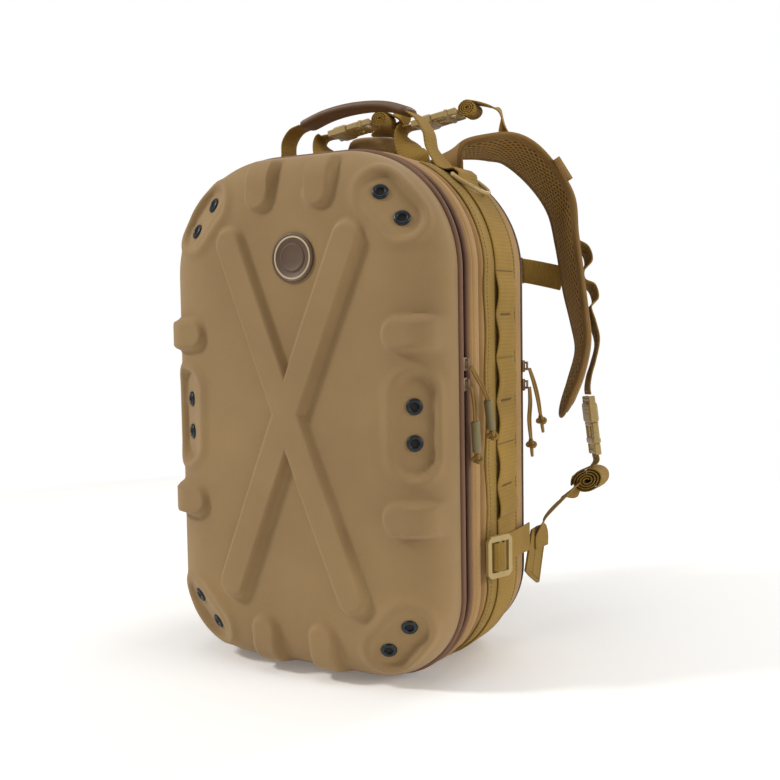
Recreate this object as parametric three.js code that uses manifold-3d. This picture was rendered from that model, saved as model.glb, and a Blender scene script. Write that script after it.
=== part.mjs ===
// Hard shell backpack: a moulded front shell on a fabric body, a padded back and a strap harness.
// Millimetres, +Z up. The shell faces -Y and the wearer's side is +Y.
// The origin is on the ground under the middle of the body.
import * as THREE from 'three';
import { mergeVertices } from 'three/addons/utils/BufferGeometryUtils.js';
import Module from 'manifold-3d';

const manifold = await Module();
manifold.setup();

// The pack's outline, seen from the front: an upright with large round corners
const HALF_WIDTH = 144;
const HEIGHT = 458;
const TOP_RADIUS = 106;
const BOTTOM_RADIUS = 78;
const CORNER_STEPS = 7;

// Depths along Y, front to back
const BODY_FRONT = -45;
const BODY_BACK = 67;
const PIPING_DIAMETER = 5.2;
const ZIPPER_WIDTH = 6.8;
const REAR_ZIPPER_WIDTH = 4.4;
const PANEL_THICKNESS = 17;
const PANEL_LIP = 3;
const PANEL_LIP_DEPTH = 4;

// Walls, gaps and cloth
const GAP = 0.3;
const SHELL_WALL = 4;
const BODY_WALL = 2.5;
const WEB_THICKNESS = 1.5;

// The moulded front shell
const SHELL_INSET = 3;
const SHELL_RISE_TOP = 36;
const SHELL_RISE_BOTTOM = 43;
const SHELL_CROWN = 4;
const SHELL_ROUNDING = 50;
const ROUNDING_POWER = 2.2;
const SHELL_SKIRT = 5;

// The raised cross and the raised ribs round the rim
const CROSS_WIDTH = 30;
const CROSS_RAISE = 4.5;
const CROSS_TOP_X = 62;
const CROSS_TOP_Z = 0.8384 * HEIGHT;
const CROSS_BOTTOM_X = 64;
const CROSS_BOTTOM_Z = 0.166 * HEIGHT;
const RIB_WIDTH = 28;
const RIB_RAISE = 3.5;
const RIB_LENGTH = 52;
const RIB_ROUNDING = 27;
const FLANK_SLOPE = 5;
const ROOT_DEPTH = 2;

// The six dished recesses, with two grommets each
const RECESS_WIDTH = 32;
const RECESS_DEPTH = 5;
const RECESS_TILT = 35;
const RECESS_INSET = 25;
const GROMMET_RADIUS = 6.4;
const GROMMET_BORE = 3.4;
const GROMMET_HEIGHT = 1.6;
const GROMMET_SPACING = 30;
const GROMMET_STEPS = 9;

// The badge on the shell
const BADGE_RADIUS = 21;
const BADGE_HEIGHT = 2.4;
const BADGE_X = 6;
const BADGE_Z = 0.797 * HEIGHT;

// The side bands: a wide fabric band with a looped webbing on it
const BAND_FRONT = -19;
const BAND_WIDTH = 66;
const WEB_FRONT = 0;
const WEB_WIDTH = 38;
const LOOP_PITCH = 38.1;
const LOOP_BULGE = 3;
const BAND_END_STEPS = 5;
const FOOT_LIFT = 1.5;

// The carry handle
const HANDLE_Y = 14;
const HANDLE_WEB_WIDTH = 25;
const GRIP_WIDTH = 27;
const GRIP_THICKNESS = 9;

// The D-rings, each hinged in a tunnel of its side webbing
const RING_STEP = 4;
const RING_WIRE = 3.6;
const RING_REACH = 29;
const RING_CLEARANCE = 0.7;
const RING_REST = 3;
const TUNNEL_SHARE = 0.35;

// The triglides on the sides, and the low webbing that they hold
const TRIGLIDE_Z = 104;
const TRIGLIDE_HEIGHT = 37;
const TRIGLIDE_WIDTH = 30;
const TRIGLIDE_THICKNESS = 3;
const TRIGLIDE_FRONT = -29;
const TRIGLIDE_TURN = 20;
const LOW_WEB_WIDTH = 25;

// The harness
const STRAP_WIDTH = 62;
const STRAP_THICKNESS = 12;
const STRAP_REACH = 86;
const HARNESS_WEB_WIDTH = 25;
const BUCKLE_LENGTH = 50;
const LOW_BUCKLE_LENGTH = 60;
const BUCKLE_WIDTH = 33;
const BUCKLE_THICKNESS = 10;
const LIFTER_SHIFT = 97;
const ROLL_RADIUS = 9;
const LABEL_UP = 0.975;
const LABEL_REACH = 12;
const LAST_RISING_SECTION = 5;
const LIFTER_SECTION = 5;
const TWIST_CLEARANCE = 3;

// Zipper sliders and their pulls
const SLIDER_LENGTH = 11;
const SLIDER_HEIGHT = 5;
const CORD_DIAMETER = 3;
const SLEEVE_DIAMETER = 7.4;
const KNOT_RADIUS = 5.5;

const OUTER_PIPING_BACK = BODY_FRONT - GAP;
const OUTER_PIPING_FRONT = OUTER_PIPING_BACK - PIPING_DIAMETER;
const ZIPPER_BACK = OUTER_PIPING_FRONT - GAP;
const ZIPPER_FRONT = ZIPPER_BACK - ZIPPER_WIDTH;
const INNER_PIPING_BACK = ZIPPER_FRONT - GAP;
const INNER_PIPING_FRONT = INNER_PIPING_BACK - PIPING_DIAMETER;
const SHELL_BACK = INNER_PIPING_FRONT - GAP;
const PANEL_FRONT = BODY_BACK + GAP;
const PANEL_BACK = PANEL_FRONT + PANEL_THICKNESS;
const REAR_ZIPPER_BACK = PANEL_FRONT + REAR_ZIPPER_WIDTH;

const V = (x, y, z) => new THREE.Vector3(x, y, z);
const radians = THREE.MathUtils.degToRad;

const pack = new THREE.Group();

const MATERIALS = {
  shell: { color: 0xa98a62, roughness: 0.85, metalness: 0 },
  fabric: { color: 0xa5825c, roughness: 0.9, metalness: 0 },
  webbing: { color: 0x8b7440, roughness: 0.85, metalness: 0 },
  piping: { color: 0x8f6654, roughness: 0.7, metalness: 0 },
  zipper: { color: 0x4b3026, roughness: 0.6, metalness: 0 },
  plastic: { color: 0xb9a274, roughness: 0.45, metalness: 0 },
  grip: { color: 0x6d4f3d, roughness: 0.6, metalness: 0 },
  gunmetal: { color: 0x2d3033, roughness: 0.4, metalness: 0.9 },
  patch: { color: 0x5d4334, roughness: 0.6, metalness: 0 },
  mesh: { color: 0x6f5f38, roughness: 0.95, metalness: 0 },
  sleeve: { color: 0x97946d, roughness: 0.5, metalness: 0 },
  cord: { color: 0x8a6f3c, roughness: 0.8, metalness: 0 },
  slider: { color: 0x6b5a43, roughness: 0.45, metalness: 0.6 },
};

// Adds a geometry to the pack as a named mesh of one of the materials above.
function addPiece(name, geometry, material) {
  const mesh = new THREE.Mesh(geometry, new THREE.MeshStandardMaterial(MATERIALS[material]));
  mesh.name = name;
  pack.add(mesh);
  return mesh;
}

// Six times the volume that the triangles enclose: negative where they face in.
function signedVolume(positions, triangles) {
  let sum = 0;
  for (const [a, b, c] of triangles) {
    sum += positions[a].dot(V(0, 0, 0).crossVectors(positions[b], positions[c]));
  }
  return sum;
}

// A geometry from points and triangles, turned to face out.
function closedGeometry(positions, triangles) {
  const inward = signedVolume(positions, triangles) < 0;
  const index = triangles.flatMap(([a, b, c]) => (inward ? [a, c, b] : [a, b, c]));
  const geometry = new THREE.BufferGeometry();
  geometry.setAttribute('position', new THREE.Float32BufferAttribute(positions.flatMap((p) => [p.x, p.y, p.z]), 3));
  geometry.setIndex(index);
  geometry.computeVertexNormals();
  return geometry;
}

// Triangles that close a flat ring of points, whatever plane it lies in.
function capTriangles(ring, first, normalAxis) {
  const flat = ring.map((p) => {
    if (normalAxis === 'y') return new THREE.Vector2(p.x, p.z);
    if (normalAxis === 'x') return new THREE.Vector2(p.y, p.z);
    return new THREE.Vector2(p.x, p.y);
  });
  return THREE.ShapeUtils.triangulateShape(flat, []).map((t) => t.map((i) => i + first));
}

// The axis that a ring's normal is nearest to.
function ringAxis(ring) {
  const normal = V(0, 0, 0);
  ring.forEach((p, i) => normal.add(V(0, 0, 0).crossVectors(p, ring[(i + 1) % ring.length])));
  const size = { x: Math.abs(normal.x), y: Math.abs(normal.y), z: Math.abs(normal.z) };
  return ['x', 'y', 'z'].reduce((best, axis) => (size[axis] > size[best] ? axis : best), 'x');
}

// Joins rings of the same number of points into one closed skin: looped, or capped at both ends.
function loft(rings, looped = false) {
  const count = rings[0].length;
  const positions = rings.flat();
  const triangles = [];
  const spans = looped ? rings.length : rings.length - 1;
  for (let r = 0; r < spans; r += 1) {
    const here = r * count;
    const next = ((r + 1) % rings.length) * count;
    for (let i = 0; i < count; i += 1) {
      const j = (i + 1) % count;
      triangles.push([here + i, here + j, next + j], [here + i, next + j, next + i]);
    }
  }
  if (!looped) {
    const last = (rings.length - 1) * count;
    const start = capTriangles(rings[0], 0, ringAxis(rings[0]));
    const end = capTriangles(rings[rings.length - 1], last, ringAxis(rings[rings.length - 1]));
    triangles.push(...facing(start, triangles, rings[0], 0));
    triangles.push(...facing(end, triangles, rings[rings.length - 1], last));
  }
  return closedGeometry(positions, triangles);
}

// Cap triangles turned so that they run against the side triangles along the ring's first edge.
function facing(cap, sides, ring, first) {
  const edgeOf = (list) => {
    for (const t of list) {
      for (let k = 0; k < t.length; k += 1) {
        const a = t[k] - first;
        const b = t[(k + 1) % t.length] - first;
        const onRing = a >= 0 && b >= 0 && a < ring.length && b < ring.length;
        if (onRing && (b - a + ring.length) % ring.length === 1) return 1;
        if (onRing && (a - b + ring.length) % ring.length === 1) return -1;
      }
    }
    return 0;
  };
  return edgeOf(cap) === edgeOf(sides) ? cap.map(([a, b, c]) => [a, c, b]) : cap;
}

// A manifold solid from a geometry, and a geometry from a manifold solid.
function solidOf(geometry) {
  const bare = geometry.clone();
  bare.deleteAttribute('normal');
  bare.deleteAttribute('uv');
  const merged = mergeVertices(bare, 1e-4);
  return new manifold.Manifold(new manifold.Mesh({
    numProp: 3,
    vertProperties: merged.attributes.position.array,
    triVerts: new Uint32Array(merged.index.array),
  }));
}

function geometryOf(solid) {
  const mesh = solid.getMesh();
  const geometry = new THREE.BufferGeometry();
  geometry.setAttribute('position', new THREE.BufferAttribute(mesh.vertProperties, 3));
  geometry.setIndex(new THREE.BufferAttribute(mesh.triVerts, 1));
  geometry.computeVertexNormals();
  return geometry;
}

// A round section of a given radius about the origin, as [across, up] pairs.
function roundSection(radius, sides) {
  return Array.from({ length: sides }, (_, i) => {
    const angle = (2 * Math.PI * (i + 0.5)) / sides;
    return [radius * Math.cos(angle), radius * Math.sin(angle)];
  });
}

// A flat section with bevelled edges, as a web or a pad has.
function flatSection(width, thickness, bevel) {
  const side = width / 2;
  const half = thickness / 2;
  if (bevel === 0) return [[-side, -half], [side, -half], [side, half], [-side, half]];
  return [[-side, 0], [bevel - side, -half], [side - bevel, -half], [side, 0], [side - bevel, half], [bevel - side, half]];
}

// Sweeps a section along stations. A station has a point, a width direction and, if it has them, a width and a thickness.
function sweep(stations, sectionAt, looped = false) {
  const rings = stations.map((station, i) => {
    const last = stations.length - 1;
    const before = stations[looped ? (i + last) % (last + 1) : Math.max(i - 1, 0)].at;
    const after = stations[looped ? (i + 1) % (last + 1) : Math.min(i + 1, last)].at;
    const along = after.clone().sub(before).normalize();
    const across = station.across.clone().addScaledVector(along, -station.across.dot(along)).normalize();
    const up = V(0, 0, 0).crossVectors(along, across);
    return sectionAt(station).map(([a, b]) => station.at.clone().addScaledVector(across, a).addScaledVector(up, b));
  });
  return loft(rings, looped);
}

// A plain web: stations swept with a flat section, each station's own width if it has one.
function web(stations, width, thickness = WEB_THICKNESS) {
  return sweep(stations, (s) => flatSection(s.width ?? width, thickness, 0));
}

// One corner of the outline: points on its arc, with the direction that faces out of the pack.
function cornerPoints(centreX, centreZ, radius, startDegrees) {
  return Array.from({ length: CORNER_STEPS + 1 }, (_, i) => {
    const angle = radians(startDegrees + (90 * i) / CORNER_STEPS);
    const out = V(Math.cos(angle), 0, Math.sin(angle));
    return { at: V(centreX, 0, centreZ).addScaledVector(out, radius), out };
  });
}

// The whole outline, from the bottom of the right-hand side round over the top.
function outlinePoints() {
  const topX = HALF_WIDTH - TOP_RADIUS;
  const bottomX = HALF_WIDTH - BOTTOM_RADIUS;
  const topZ = HEIGHT - TOP_RADIUS;
  return [
    ...cornerPoints(bottomX, BOTTOM_RADIUS, BOTTOM_RADIUS, -90),
    ...cornerPoints(topX, topZ, TOP_RADIUS, 0),
    ...cornerPoints(-topX, topZ, TOP_RADIUS, 90),
    ...cornerPoints(-bottomX, BOTTOM_RADIUS, BOTTOM_RADIUS, 180),
  ];
}
const OUTLINE = outlinePoints();

// The outline moved out by a distance (in, if negative) at one depth.
function outlineRing(out, y) {
  return OUTLINE.map((p) => p.at.clone().addScaledVector(p.out, out).setY(y));
}

// A hoop round the pack, of a section given as [out, y] pairs.
function hoop(section) {
  return loft(OUTLINE.map((p) => section.map(([out, y]) => p.at.clone().addScaledVector(p.out, out).setY(y))), true);
}

// How far inside the outline a point of the front view lies.
function insetAt(x, z) {
  const centreZ = HEIGHT / 2;
  const radius = z > centreZ ? TOP_RADIUS : BOTTOM_RADIUS;
  const dx = Math.abs(x) - (HALF_WIDTH - radius);
  const dz = Math.abs(z - centreZ) - (centreZ - radius);
  const beyond = Math.hypot(Math.max(dx, 0), Math.max(dz, 0));
  return radius - beyond - Math.min(Math.max(dx, dz), 0);
}

// The rise of a rounded edge at a distance inside it, as a share of the whole rise.
function roundedRise(inset, rounding) {
  const share = Math.min(Math.max(inset / rounding, 0), 1);
  return (1 - (1 - share) ** ROUNDING_POWER) ** (1 / ROUNDING_POWER);
}

// The depth of the shell's smooth face, lowered by an offset along its own rounding.
function faceY(x, z, offset = 0, rounding = SHELL_ROUNDING) {
  const rise = THREE.MathUtils.lerp(SHELL_RISE_BOTTOM, SHELL_RISE_TOP, z / HEIGHT);
  const crown = SHELL_CROWN * (1 - (x / HALF_WIDTH) ** 2) * (1 - (2 * z / HEIGHT - 1) ** 2);
  const inset = insetAt(x, z) - SHELL_INSET - offset;
  return SHELL_BACK - SHELL_SKIRT - (rise + crown - SHELL_SKIRT - offset) * roundedRise(inset, rounding);
}

// Insets of the rings that carry the rounding, then scales of the rings that fill the face.
const ROUNDING_RINGS = [0, 2, 6, 13, 23, 35, SHELL_ROUNDING];
const FACE_RINGS = [0.66, 0.33];

// The dome of the shell, or of its hollow where the offset is the wall.
function dome(offset) {
  const wallInset = SHELL_INSET + offset;
  const roundingRings = ROUNDING_RINGS.map((inset) => outlineRing(-inset - wallInset, 0));
  const innermost = roundingRings[roundingRings.length - 1];
  const centre = V(0, 0, HEIGHT / 2);
  const faceRings = FACE_RINGS.map((scale) => innermost.map((p) => p.clone().sub(centre).multiplyScalar(scale).add(centre)));
  const rings = [...roundingRings, ...faceRings].map((ring) => ring.map((p) => p.clone().setY(faceY(p.x, p.z, offset))));
  const open = offset > 0 ? SHELL_BACK + 1 : SHELL_BACK;
  return loft([outlineRing(-wallInset, open), ...rings]);
}

// A raised bar that follows the face between two points, with round ends.
function raisedBar(from, to, width, raise, rounding, roundEnds) {
  const stations = [];
  const steps = 8;
  const length = from.distanceTo(to);
  const along = to.clone().sub(from).normalize();
  const across = V(-along.z, 0, along.x);
  const end = width / 2;
  const distances = [0, end * 0.3, end];
  for (let i = 1; i < steps; i += 1) distances.push(end + ((length - 2 * end) * i) / steps);
  distances.push(length - end, length - end * 0.3, length);
  for (const d of distances) {
    const toEnd = Math.min(roundEnds.start ? d : Infinity, roundEnds.finish ? length - d : Infinity);
    const share = toEnd < end ? Math.sqrt(1 - (1 - toEnd / end) ** 2) : 1;
    const half = Math.max(end * share, FLANK_SLOPE + 0.5);
    stations.push({ at: from.clone().addScaledVector(along, d), half });
  }
  const rings = stations.map(({ at, half }) => [-half, FLANK_SLOPE - half, half - FLANK_SLOPE, half].map((a, k) => {
    const p = at.clone().addScaledVector(across, a);
    const top = k === 1 || k === 2;
    return p.setY(top ? faceY(p.x, p.z, 0, rounding) - raise : faceY(p.x, p.z) + ROOT_DEPTH);
  }));
  return loft(rings);
}

// The raised cross: two bars from corner to corner of the face.
function crossBars() {
  const ends = { start: true, finish: true };
  return [-1, 1].map((side) => raisedBar(
    V(side * CROSS_TOP_X, 0, CROSS_TOP_Z),
    V(-side * CROSS_BOTTOM_X, 0, CROSS_BOTTOM_Z),
    CROSS_WIDTH,
    CROSS_RAISE,
    SHELL_ROUNDING,
    ends,
  ));
}

// The raised ribs: where each meets the rim, as shares of the half width or the height.
const RIBS = [
  { rim: 'side', place: 0.655 },
  { rim: 'side', place: 0.325 },
  { rim: 'top', place: 0.21 },
  { rim: 'bottom', place: 0.21 },
];

function ribs() {
  const rimGap = SHELL_INSET + 4;
  return RIBS.flatMap(({ rim, place }) => [-1, 1].map((side) => {
    const outer = {
      side: V(side * (HALF_WIDTH - rimGap), 0, place * HEIGHT),
      top: V(side * place * HALF_WIDTH, 0, HEIGHT - rimGap),
      bottom: V(side * place * HALF_WIDTH, 0, rimGap),
    }[rim];
    const inward = { side: V(-side, 0, 0), top: V(0, 0, -1), bottom: V(0, 0, 1) }[rim];
    const inner = outer.clone().addScaledVector(inward, RIB_LENGTH - rimGap);
    return raisedBar(outer, inner, RIB_WIDTH, RIB_RAISE, RIB_ROUNDING, { start: false, finish: true });
  }));
}

// The recesses of one side: the direction out of the pack, the place on the rim and the length.
const RECESSES = [
  { name: 'top', angle: 42, length: GROMMET_SPACING + RECESS_WIDTH },
  { name: 'middle', angle: 0, length: GROMMET_SPACING + 1.6 * RECESS_WIDTH },
  { name: 'bottom', angle: -42, length: GROMMET_SPACING + RECESS_WIDTH },
];

// Each recess's own frame: its middle on the face, the way along it and the way out of its floor.
function recessFrames() {
  return [1, -1].flatMap((side) => RECESSES.map(({ name, angle, length }) => {
    const out = V(side * Math.cos(radians(angle)), 0, Math.sin(radians(angle)));
    const along = V(-out.z, 0, out.x);
    const centres = {
      top: V(side * (HALF_WIDTH - TOP_RADIUS), 0, HEIGHT - TOP_RADIUS).addScaledVector(out, TOP_RADIUS - RECESS_INSET),
      middle: V(side * (HALF_WIDTH - RECESS_INSET), 0, HEIGHT * 0.493),
      bottom: V(side * (HALF_WIDTH - BOTTOM_RADIUS), 0, BOTTOM_RADIUS).addScaledVector(out, BOTTOM_RADIUS - RECESS_INSET - 4),
    };
    const middle = centres[name];
    const tilt = radians(RECESS_TILT);
    const normal = V(0, -Math.cos(tilt), 0).addScaledVector(out, Math.sin(tilt));
    const floor = middle.clone().setY(faceY(middle.x, middle.z)).addScaledVector(normal, -RECESS_DEPTH);
    return { side, name, along, normal, floor, length };
  }));
}
const RECESS_FRAMES = recessFrames();

// A round-ended slab that lies on a recess's floor: the hollow itself, or the wall round it.
function recessSlab({ along, normal, floor, length }, grow, below, above) {
  const radius = RECESS_WIDTH / 2 + grow;
  const reach = length / 2 - RECESS_WIDTH / 2;
  const across = V(0, 0, 0).crossVectors(normal, along);
  const endSteps = 4;
  const loopAt = (height, flare) => {
    const loop = [];
    for (const end of [1, -1]) {
      for (let i = 0; i <= endSteps; i += 1) {
        const angle = (Math.PI * i) / endSteps - Math.PI / 2;
        loop.push(floor.clone()
          .addScaledVector(normal, height)
          .addScaledVector(along, end * (reach + (radius + flare) * Math.cos(angle)))
          .addScaledVector(across, end * (radius + flare) * Math.sin(angle)));
      }
    }
    return loop;
  };
  return loft([loopAt(-below, 0), loopAt(above, above * 0.35)]);
}

// A grommet's bore through the shell.
function grommetBore(place, normal, along) {
  const across = V(0, 0, 0).crossVectors(normal, along);
  const ring = (height) => roundSection(GROMMET_BORE, 8).map(([a, b]) => place.clone()
    .addScaledVector(along, a).addScaledVector(across, b).addScaledVector(normal, height));
  return loft([ring(-3 * SHELL_WALL), ring(SHELL_WALL)]);
}

function grommetPlaces() {
  return RECESS_FRAMES.flatMap((frame) => [1, -1].map((end) => ({
    frame,
    place: frame.floor.clone().addScaledVector(frame.along, (end * GROMMET_SPACING) / 2),
  })));
}

// The moulded shell: dome, cross and ribs joined, the hollow and the recesses cut.
function frontShell() {
  let outer = solidOf(dome(0));
  for (const bar of [...crossBars(), ...ribs()]) outer = outer.add(solidOf(bar));
  let hollow = solidOf(dome(SHELL_WALL));
  for (const frame of RECESS_FRAMES) {
    outer = outer.subtract(solidOf(recessSlab(frame, 0, 0, 26)));
    hollow = hollow.subtract(solidOf(recessSlab(frame, SHELL_WALL / 2, SHELL_WALL, 26)));
  }
  let shell = outer.subtract(hollow);
  for (const { frame, place } of grommetPlaces()) {
    shell = shell.subtract(solidOf(grommetBore(place, frame.normal, frame.along)));
  }
  return geometryOf(shell);
}

// A grommet is a flanged ring on the recess's floor.
function addGrommets() {
  const outer = GROMMET_RADIUS;
  const profile = [
    new THREE.Vector2(GROMMET_BORE, GAP),
    new THREE.Vector2(outer, GAP),
    new THREE.Vector2(outer - 1, GAP + GROMMET_HEIGHT),
    new THREE.Vector2(GROMMET_BORE, GAP + GROMMET_HEIGHT),
    new THREE.Vector2(GROMMET_BORE, GAP),
  ];
  grommetPlaces().forEach(({ frame, place }, i) => {
    const ring = addPiece(`grommet_${String(i + 1).padStart(2, '0')}`, new THREE.LatheGeometry(profile, GROMMET_STEPS), 'gunmetal');
    ring.position.copy(place);
    ring.quaternion.setFromUnitVectors(V(0, 1, 0), frame.normal);
  });
}

// The badge is a plain round patch that lies on the face.
function badge() {
  const steps = 16;
  const ring = (radius, height) => Array.from({ length: steps }, (_, i) => {
    const angle = (2 * Math.PI * i) / steps;
    const p = V(BADGE_X + radius * Math.cos(angle), 0, BADGE_Z + radius * Math.sin(angle));
    return p.setY(faceY(p.x, p.z) - height);
  });
  return loft([
    ring(BADGE_RADIUS, 2 * GAP),
    ring(BADGE_RADIUS, BADGE_HEIGHT - 0.8),
    ring(BADGE_RADIUS - 1.5, BADGE_HEIGHT),
  ]);
}

// A piping hoop: a round cord in its fabric, flush with the outline.
function piping(front) {
  const radius = PIPING_DIAMETER / 2;
  return hoop(roundSection(radius, 6).map(([a, b]) => [a - radius, front + radius + b]));
}

function frontZipper() {
  return hoop([[-6, ZIPPER_FRONT], [-3.4, ZIPPER_FRONT], [-3.4, ZIPPER_BACK], [-6, ZIPPER_BACK]]);
}

function rearZipper() {
  return hoop([[-6.5, PANEL_FRONT], [-1.5, PANEL_FRONT], [-1.5, REAR_ZIPPER_BACK], [-6.5, REAR_ZIPPER_BACK]]);
}

// The body: a tray of cloth, with its flap and groove near the front rim and a closed back.
function body() {
  const dip = BODY_FRONT + 17;
  const outside = [[-6, BODY_BACK], [-1.5, BODY_BACK - 2], [0, BODY_BACK - 6], [0, BAND_FRONT], [-2.4, dip], [-0.4, dip - 4], [0, BODY_FRONT + 4], [-1.2, BODY_FRONT]];
  const inside = [[-BODY_WALL - 1.2, BODY_FRONT], [-BODY_WALL - 2.4, dip], [-BODY_WALL, BAND_FRONT + 4], [-BODY_WALL - 2, BODY_BACK - BODY_WALL]];
  return loft([...outside, ...inside].map(([out, y]) => outlineRing(out, y)));
}

// The padded back, let into the rear zipper's hoop and rounded at its rim.
function backPanel() {
  const neck = REAR_ZIPPER_BACK + GAP;
  const lip = [[-PANEL_LIP, neck], [-PANEL_LIP, neck + PANEL_LIP_DEPTH]];
  const rings = [[-7, PANEL_FRONT], [-7, neck], ...lip, [-8, PANEL_BACK - 2], [-18, PANEL_BACK]];
  return loft(rings.map(([out, y]) => outlineRing(out, y)));
}

// The stretch of the outline down one side: the top corner from its third step, the side, and most of the bottom corner.
function sideRun(side, straightZ) {
  const points = OUTLINE.slice(0, 2 * (CORNER_STEPS + 1));
  const bottom = points.slice(CORNER_STEPS - BAND_END_STEPS, CORNER_STEPS + 1);
  const top = points.slice(CORNER_STEPS + 1, CORNER_STEPS + 2 + BAND_END_STEPS);
  const straight = straightZ.map((z) => ({ at: V(HALF_WIDTH, 0, z), out: V(1, 0, 0) }));
  return [...top.reverse(), ...straight, ...bottom.reverse()].map(({ at, out }) => ({
    at: V(side * at.x, 0, at.z),
    out: V(side * out.x, 0, out.z),
  }));
}

// A band along one side, from an inner to an outer distance out of the body.
function sideBand(side) {
  const rings = sideRun(side, []).map(({ at, out }) => [
    [GAP, BAND_FRONT], [GAP, BAND_FRONT + BAND_WIDTH], [GAP + WEB_THICKNESS, BAND_FRONT + BAND_WIDTH], [GAP + WEB_THICKNESS, BAND_FRONT],
  ].map(([d, y]) => at.clone().addScaledVector(out, d).setY(y)));
  return loft(rings);
}

// The heights where the looped webbing is sewn down, on the straight of the side.
function stitchHeights() {
  const top = HEIGHT - TOP_RADIUS;
  const count = Math.floor((top - BOTTOM_RADIUS) / LOOP_PITCH);
  return Array.from({ length: count }, (_, i) => top - LOOP_PITCH * (i + 1));
}

// Stations of the looped webbing down one side: sewn down at each stitch and standing off between them.
function looped(side) {
  const sewn = GAP + WEB_THICKNESS + GAP;
  const stitches = stitchHeights();
  const straightZ = stitches.flatMap((z) => [z + LOOP_PITCH / 2, z]);
  const triglideTop = TRIGLIDE_Z + TRIGLIDE_HEIGHT / 2;
  return sideRun(side, straightZ).map(({ at, out }, i) => {
    const between = straightZ.includes(at.z) && !stitches.includes(at.z) && at.z > triglideTop;
    const lift = i === 0 ? FOOT_LIFT : 0;
    return { at, out, off: sewn + lift + (between ? LOOP_BULGE : 0) };
  });
}

// The handle's path above the pack, left to right: x as a share of the half width, z as a rise above the top as a share of the height.
const HANDLE_PATH = [
  { x: -0.545, rise: 0.022, grip: false },
  { x: -0.535, rise: 0.055, grip: false },
  { x: -0.475, rise: 0.078, grip: false },
  { x: -0.395, rise: 0.086, grip: true },
  { x: -0.2, rise: 0.104, grip: true },
  { x: 0.03, rise: 0.111, grip: true },
  { x: 0.25, rise: 0.105, grip: true },
  { x: 0.41, rise: 0.088, grip: true },
  { x: 0.47, rise: 0.074, grip: false },
  { x: 0.53, rise: 0.046, grip: false },
  { x: 0.555, rise: 0.012, grip: false },
];

function handlePoint({ x, rise }) {
  return V(x * HALF_WIDTH, HANDLE_Y, HEIGHT * (1 + rise));
}

function handleGrip() {
  const stations = HANDLE_PATH.filter((p) => p.grip).map((p) => ({ at: handlePoint(p), across: V(0, 1, 0) }));
  return sweep(stations, () => flatSection(GRIP_WIDTH, GRIP_THICKNESS, 3));
}

// The handle webbing's stations on one side, from inside the grip's end down to the top of the body.
function handleEnd(side) {
  const ofSide = HANDLE_PATH.filter((p) => Math.sign(p.x) === side);
  const outward = ofSide.sort((a, b) => Math.abs(a.x) - Math.abs(b.x));
  const falling = outward.filter((p) => !p.grip);
  const gripEnd = outward.filter((p) => p.grip).pop();
  const grip = handlePoint(gripEnd);
  const onward = handlePoint(falling[0]).sub(grip).normalize();
  const start = grip.addScaledVector(onward, 2 * GAP);
  return [start, ...falling.map(handlePoint)].map((at) => ({ at, width: HANDLE_WEB_WIDTH }));
}

// The side webbing: the handle's end, the sewn foot, a tunnel for the D-ring, and the loops down the side.
function sideWebbing(side) {
  const rise = RING_WIRE + 2 * RING_CLEARANCE + GAP;
  const run = looped(side);
  const ringIndex = BAND_END_STEPS - RING_STEP;
  const near = (other) => ({
    at: run[ringIndex].at.clone().lerp(run[other].at, TUNNEL_SHARE),
    out: run[ringIndex].out.clone().lerp(run[other].out, TUNNEL_SHARE).normalize(),
    off: run[ringIndex].off,
  });
  const tunnel = { ...run[ringIndex], off: run[ringIndex].off + rise };
  const withTunnel = [
    ...run.slice(0, ringIndex), near(ringIndex - 1), tunnel, near(ringIndex + 1), ...run.slice(ringIndex + 1),
  ];
  const sideStations = withTunnel.map(({ at, out, off }) => ({
    at: at.clone().addScaledVector(out, off + WEB_THICKNESS / 2).setY(WEB_FRONT + WEB_WIDTH / 2),
    width: WEB_WIDTH,
  }));
  return web([...handleEnd(side), ...sideStations].map((s) => ({ ...s, across: V(0, 1, 0) })), WEB_WIDTH);
}

// The middle of a D-ring's straight bar, in the tunnel of its webbing.
const RING_ANGLE = (90 * RING_STEP) / CORNER_STEPS;

function ringPivot(side) {
  const radius = TOP_RADIUS + GAP + WEB_THICKNESS + RING_CLEARANCE + RING_WIRE / 2;
  const angle = radians(RING_ANGLE);
  const x = HALF_WIDTH - TOP_RADIUS + radius * Math.cos(angle);
  return V(side * x, WEB_FRONT + WEB_WIDTH / 2, HEIGHT - TOP_RADIUS + radius * Math.sin(angle));
}

// A D-ring: a straight bar along Y closed by a round bow, hanging down the corner at its rest angle.
function dRing(side) {
  const half = WEB_WIDTH / 2 + RING_CLEARANCE + RING_WIRE / 2;
  const bowSteps = 8;
  const flat = [[0, -half]];
  for (let i = 0; i <= bowSteps; i += 1) {
    const angle = (Math.PI * i) / bowSteps - Math.PI / 2;
    flat.push([RING_REACH * 0.25 + RING_REACH * 0.75 * Math.cos(angle), half * Math.sin(angle)]);
  }
  flat.push([0, half]);
  const down = radians(RING_ANGLE - 90 + RING_REST);
  const away = V(side * Math.cos(down), 0, Math.sin(down));
  const pivot = ringPivot(side);
  const stations = flat.map(([a, y]) => ({
    at: pivot.clone().addScaledVector(away, a).add(V(0, y, 0)),
    across: V(-away.z, 0, away.x),
  }));
  return sweep(stations, () => roundSection(RING_WIRE / 2, 6), true);
}

// A triglide's own frame on one side: its front edge near the band and its back edge standing out.
function triglideFrame(side) {
  const turn = radians(TRIGLIDE_TURN);
  const across = V(side * Math.sin(turn), Math.cos(turn), 0);
  const out = V(side * Math.cos(turn), -Math.sin(turn), 0);
  const corner = V(side * (HALF_WIDTH + GAP + 2 * WEB_THICKNESS + 1), TRIGLIDE_FRONT, TRIGLIDE_Z);
  return { across, out, corner, up: V(0, 0, 1) };
}

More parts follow.
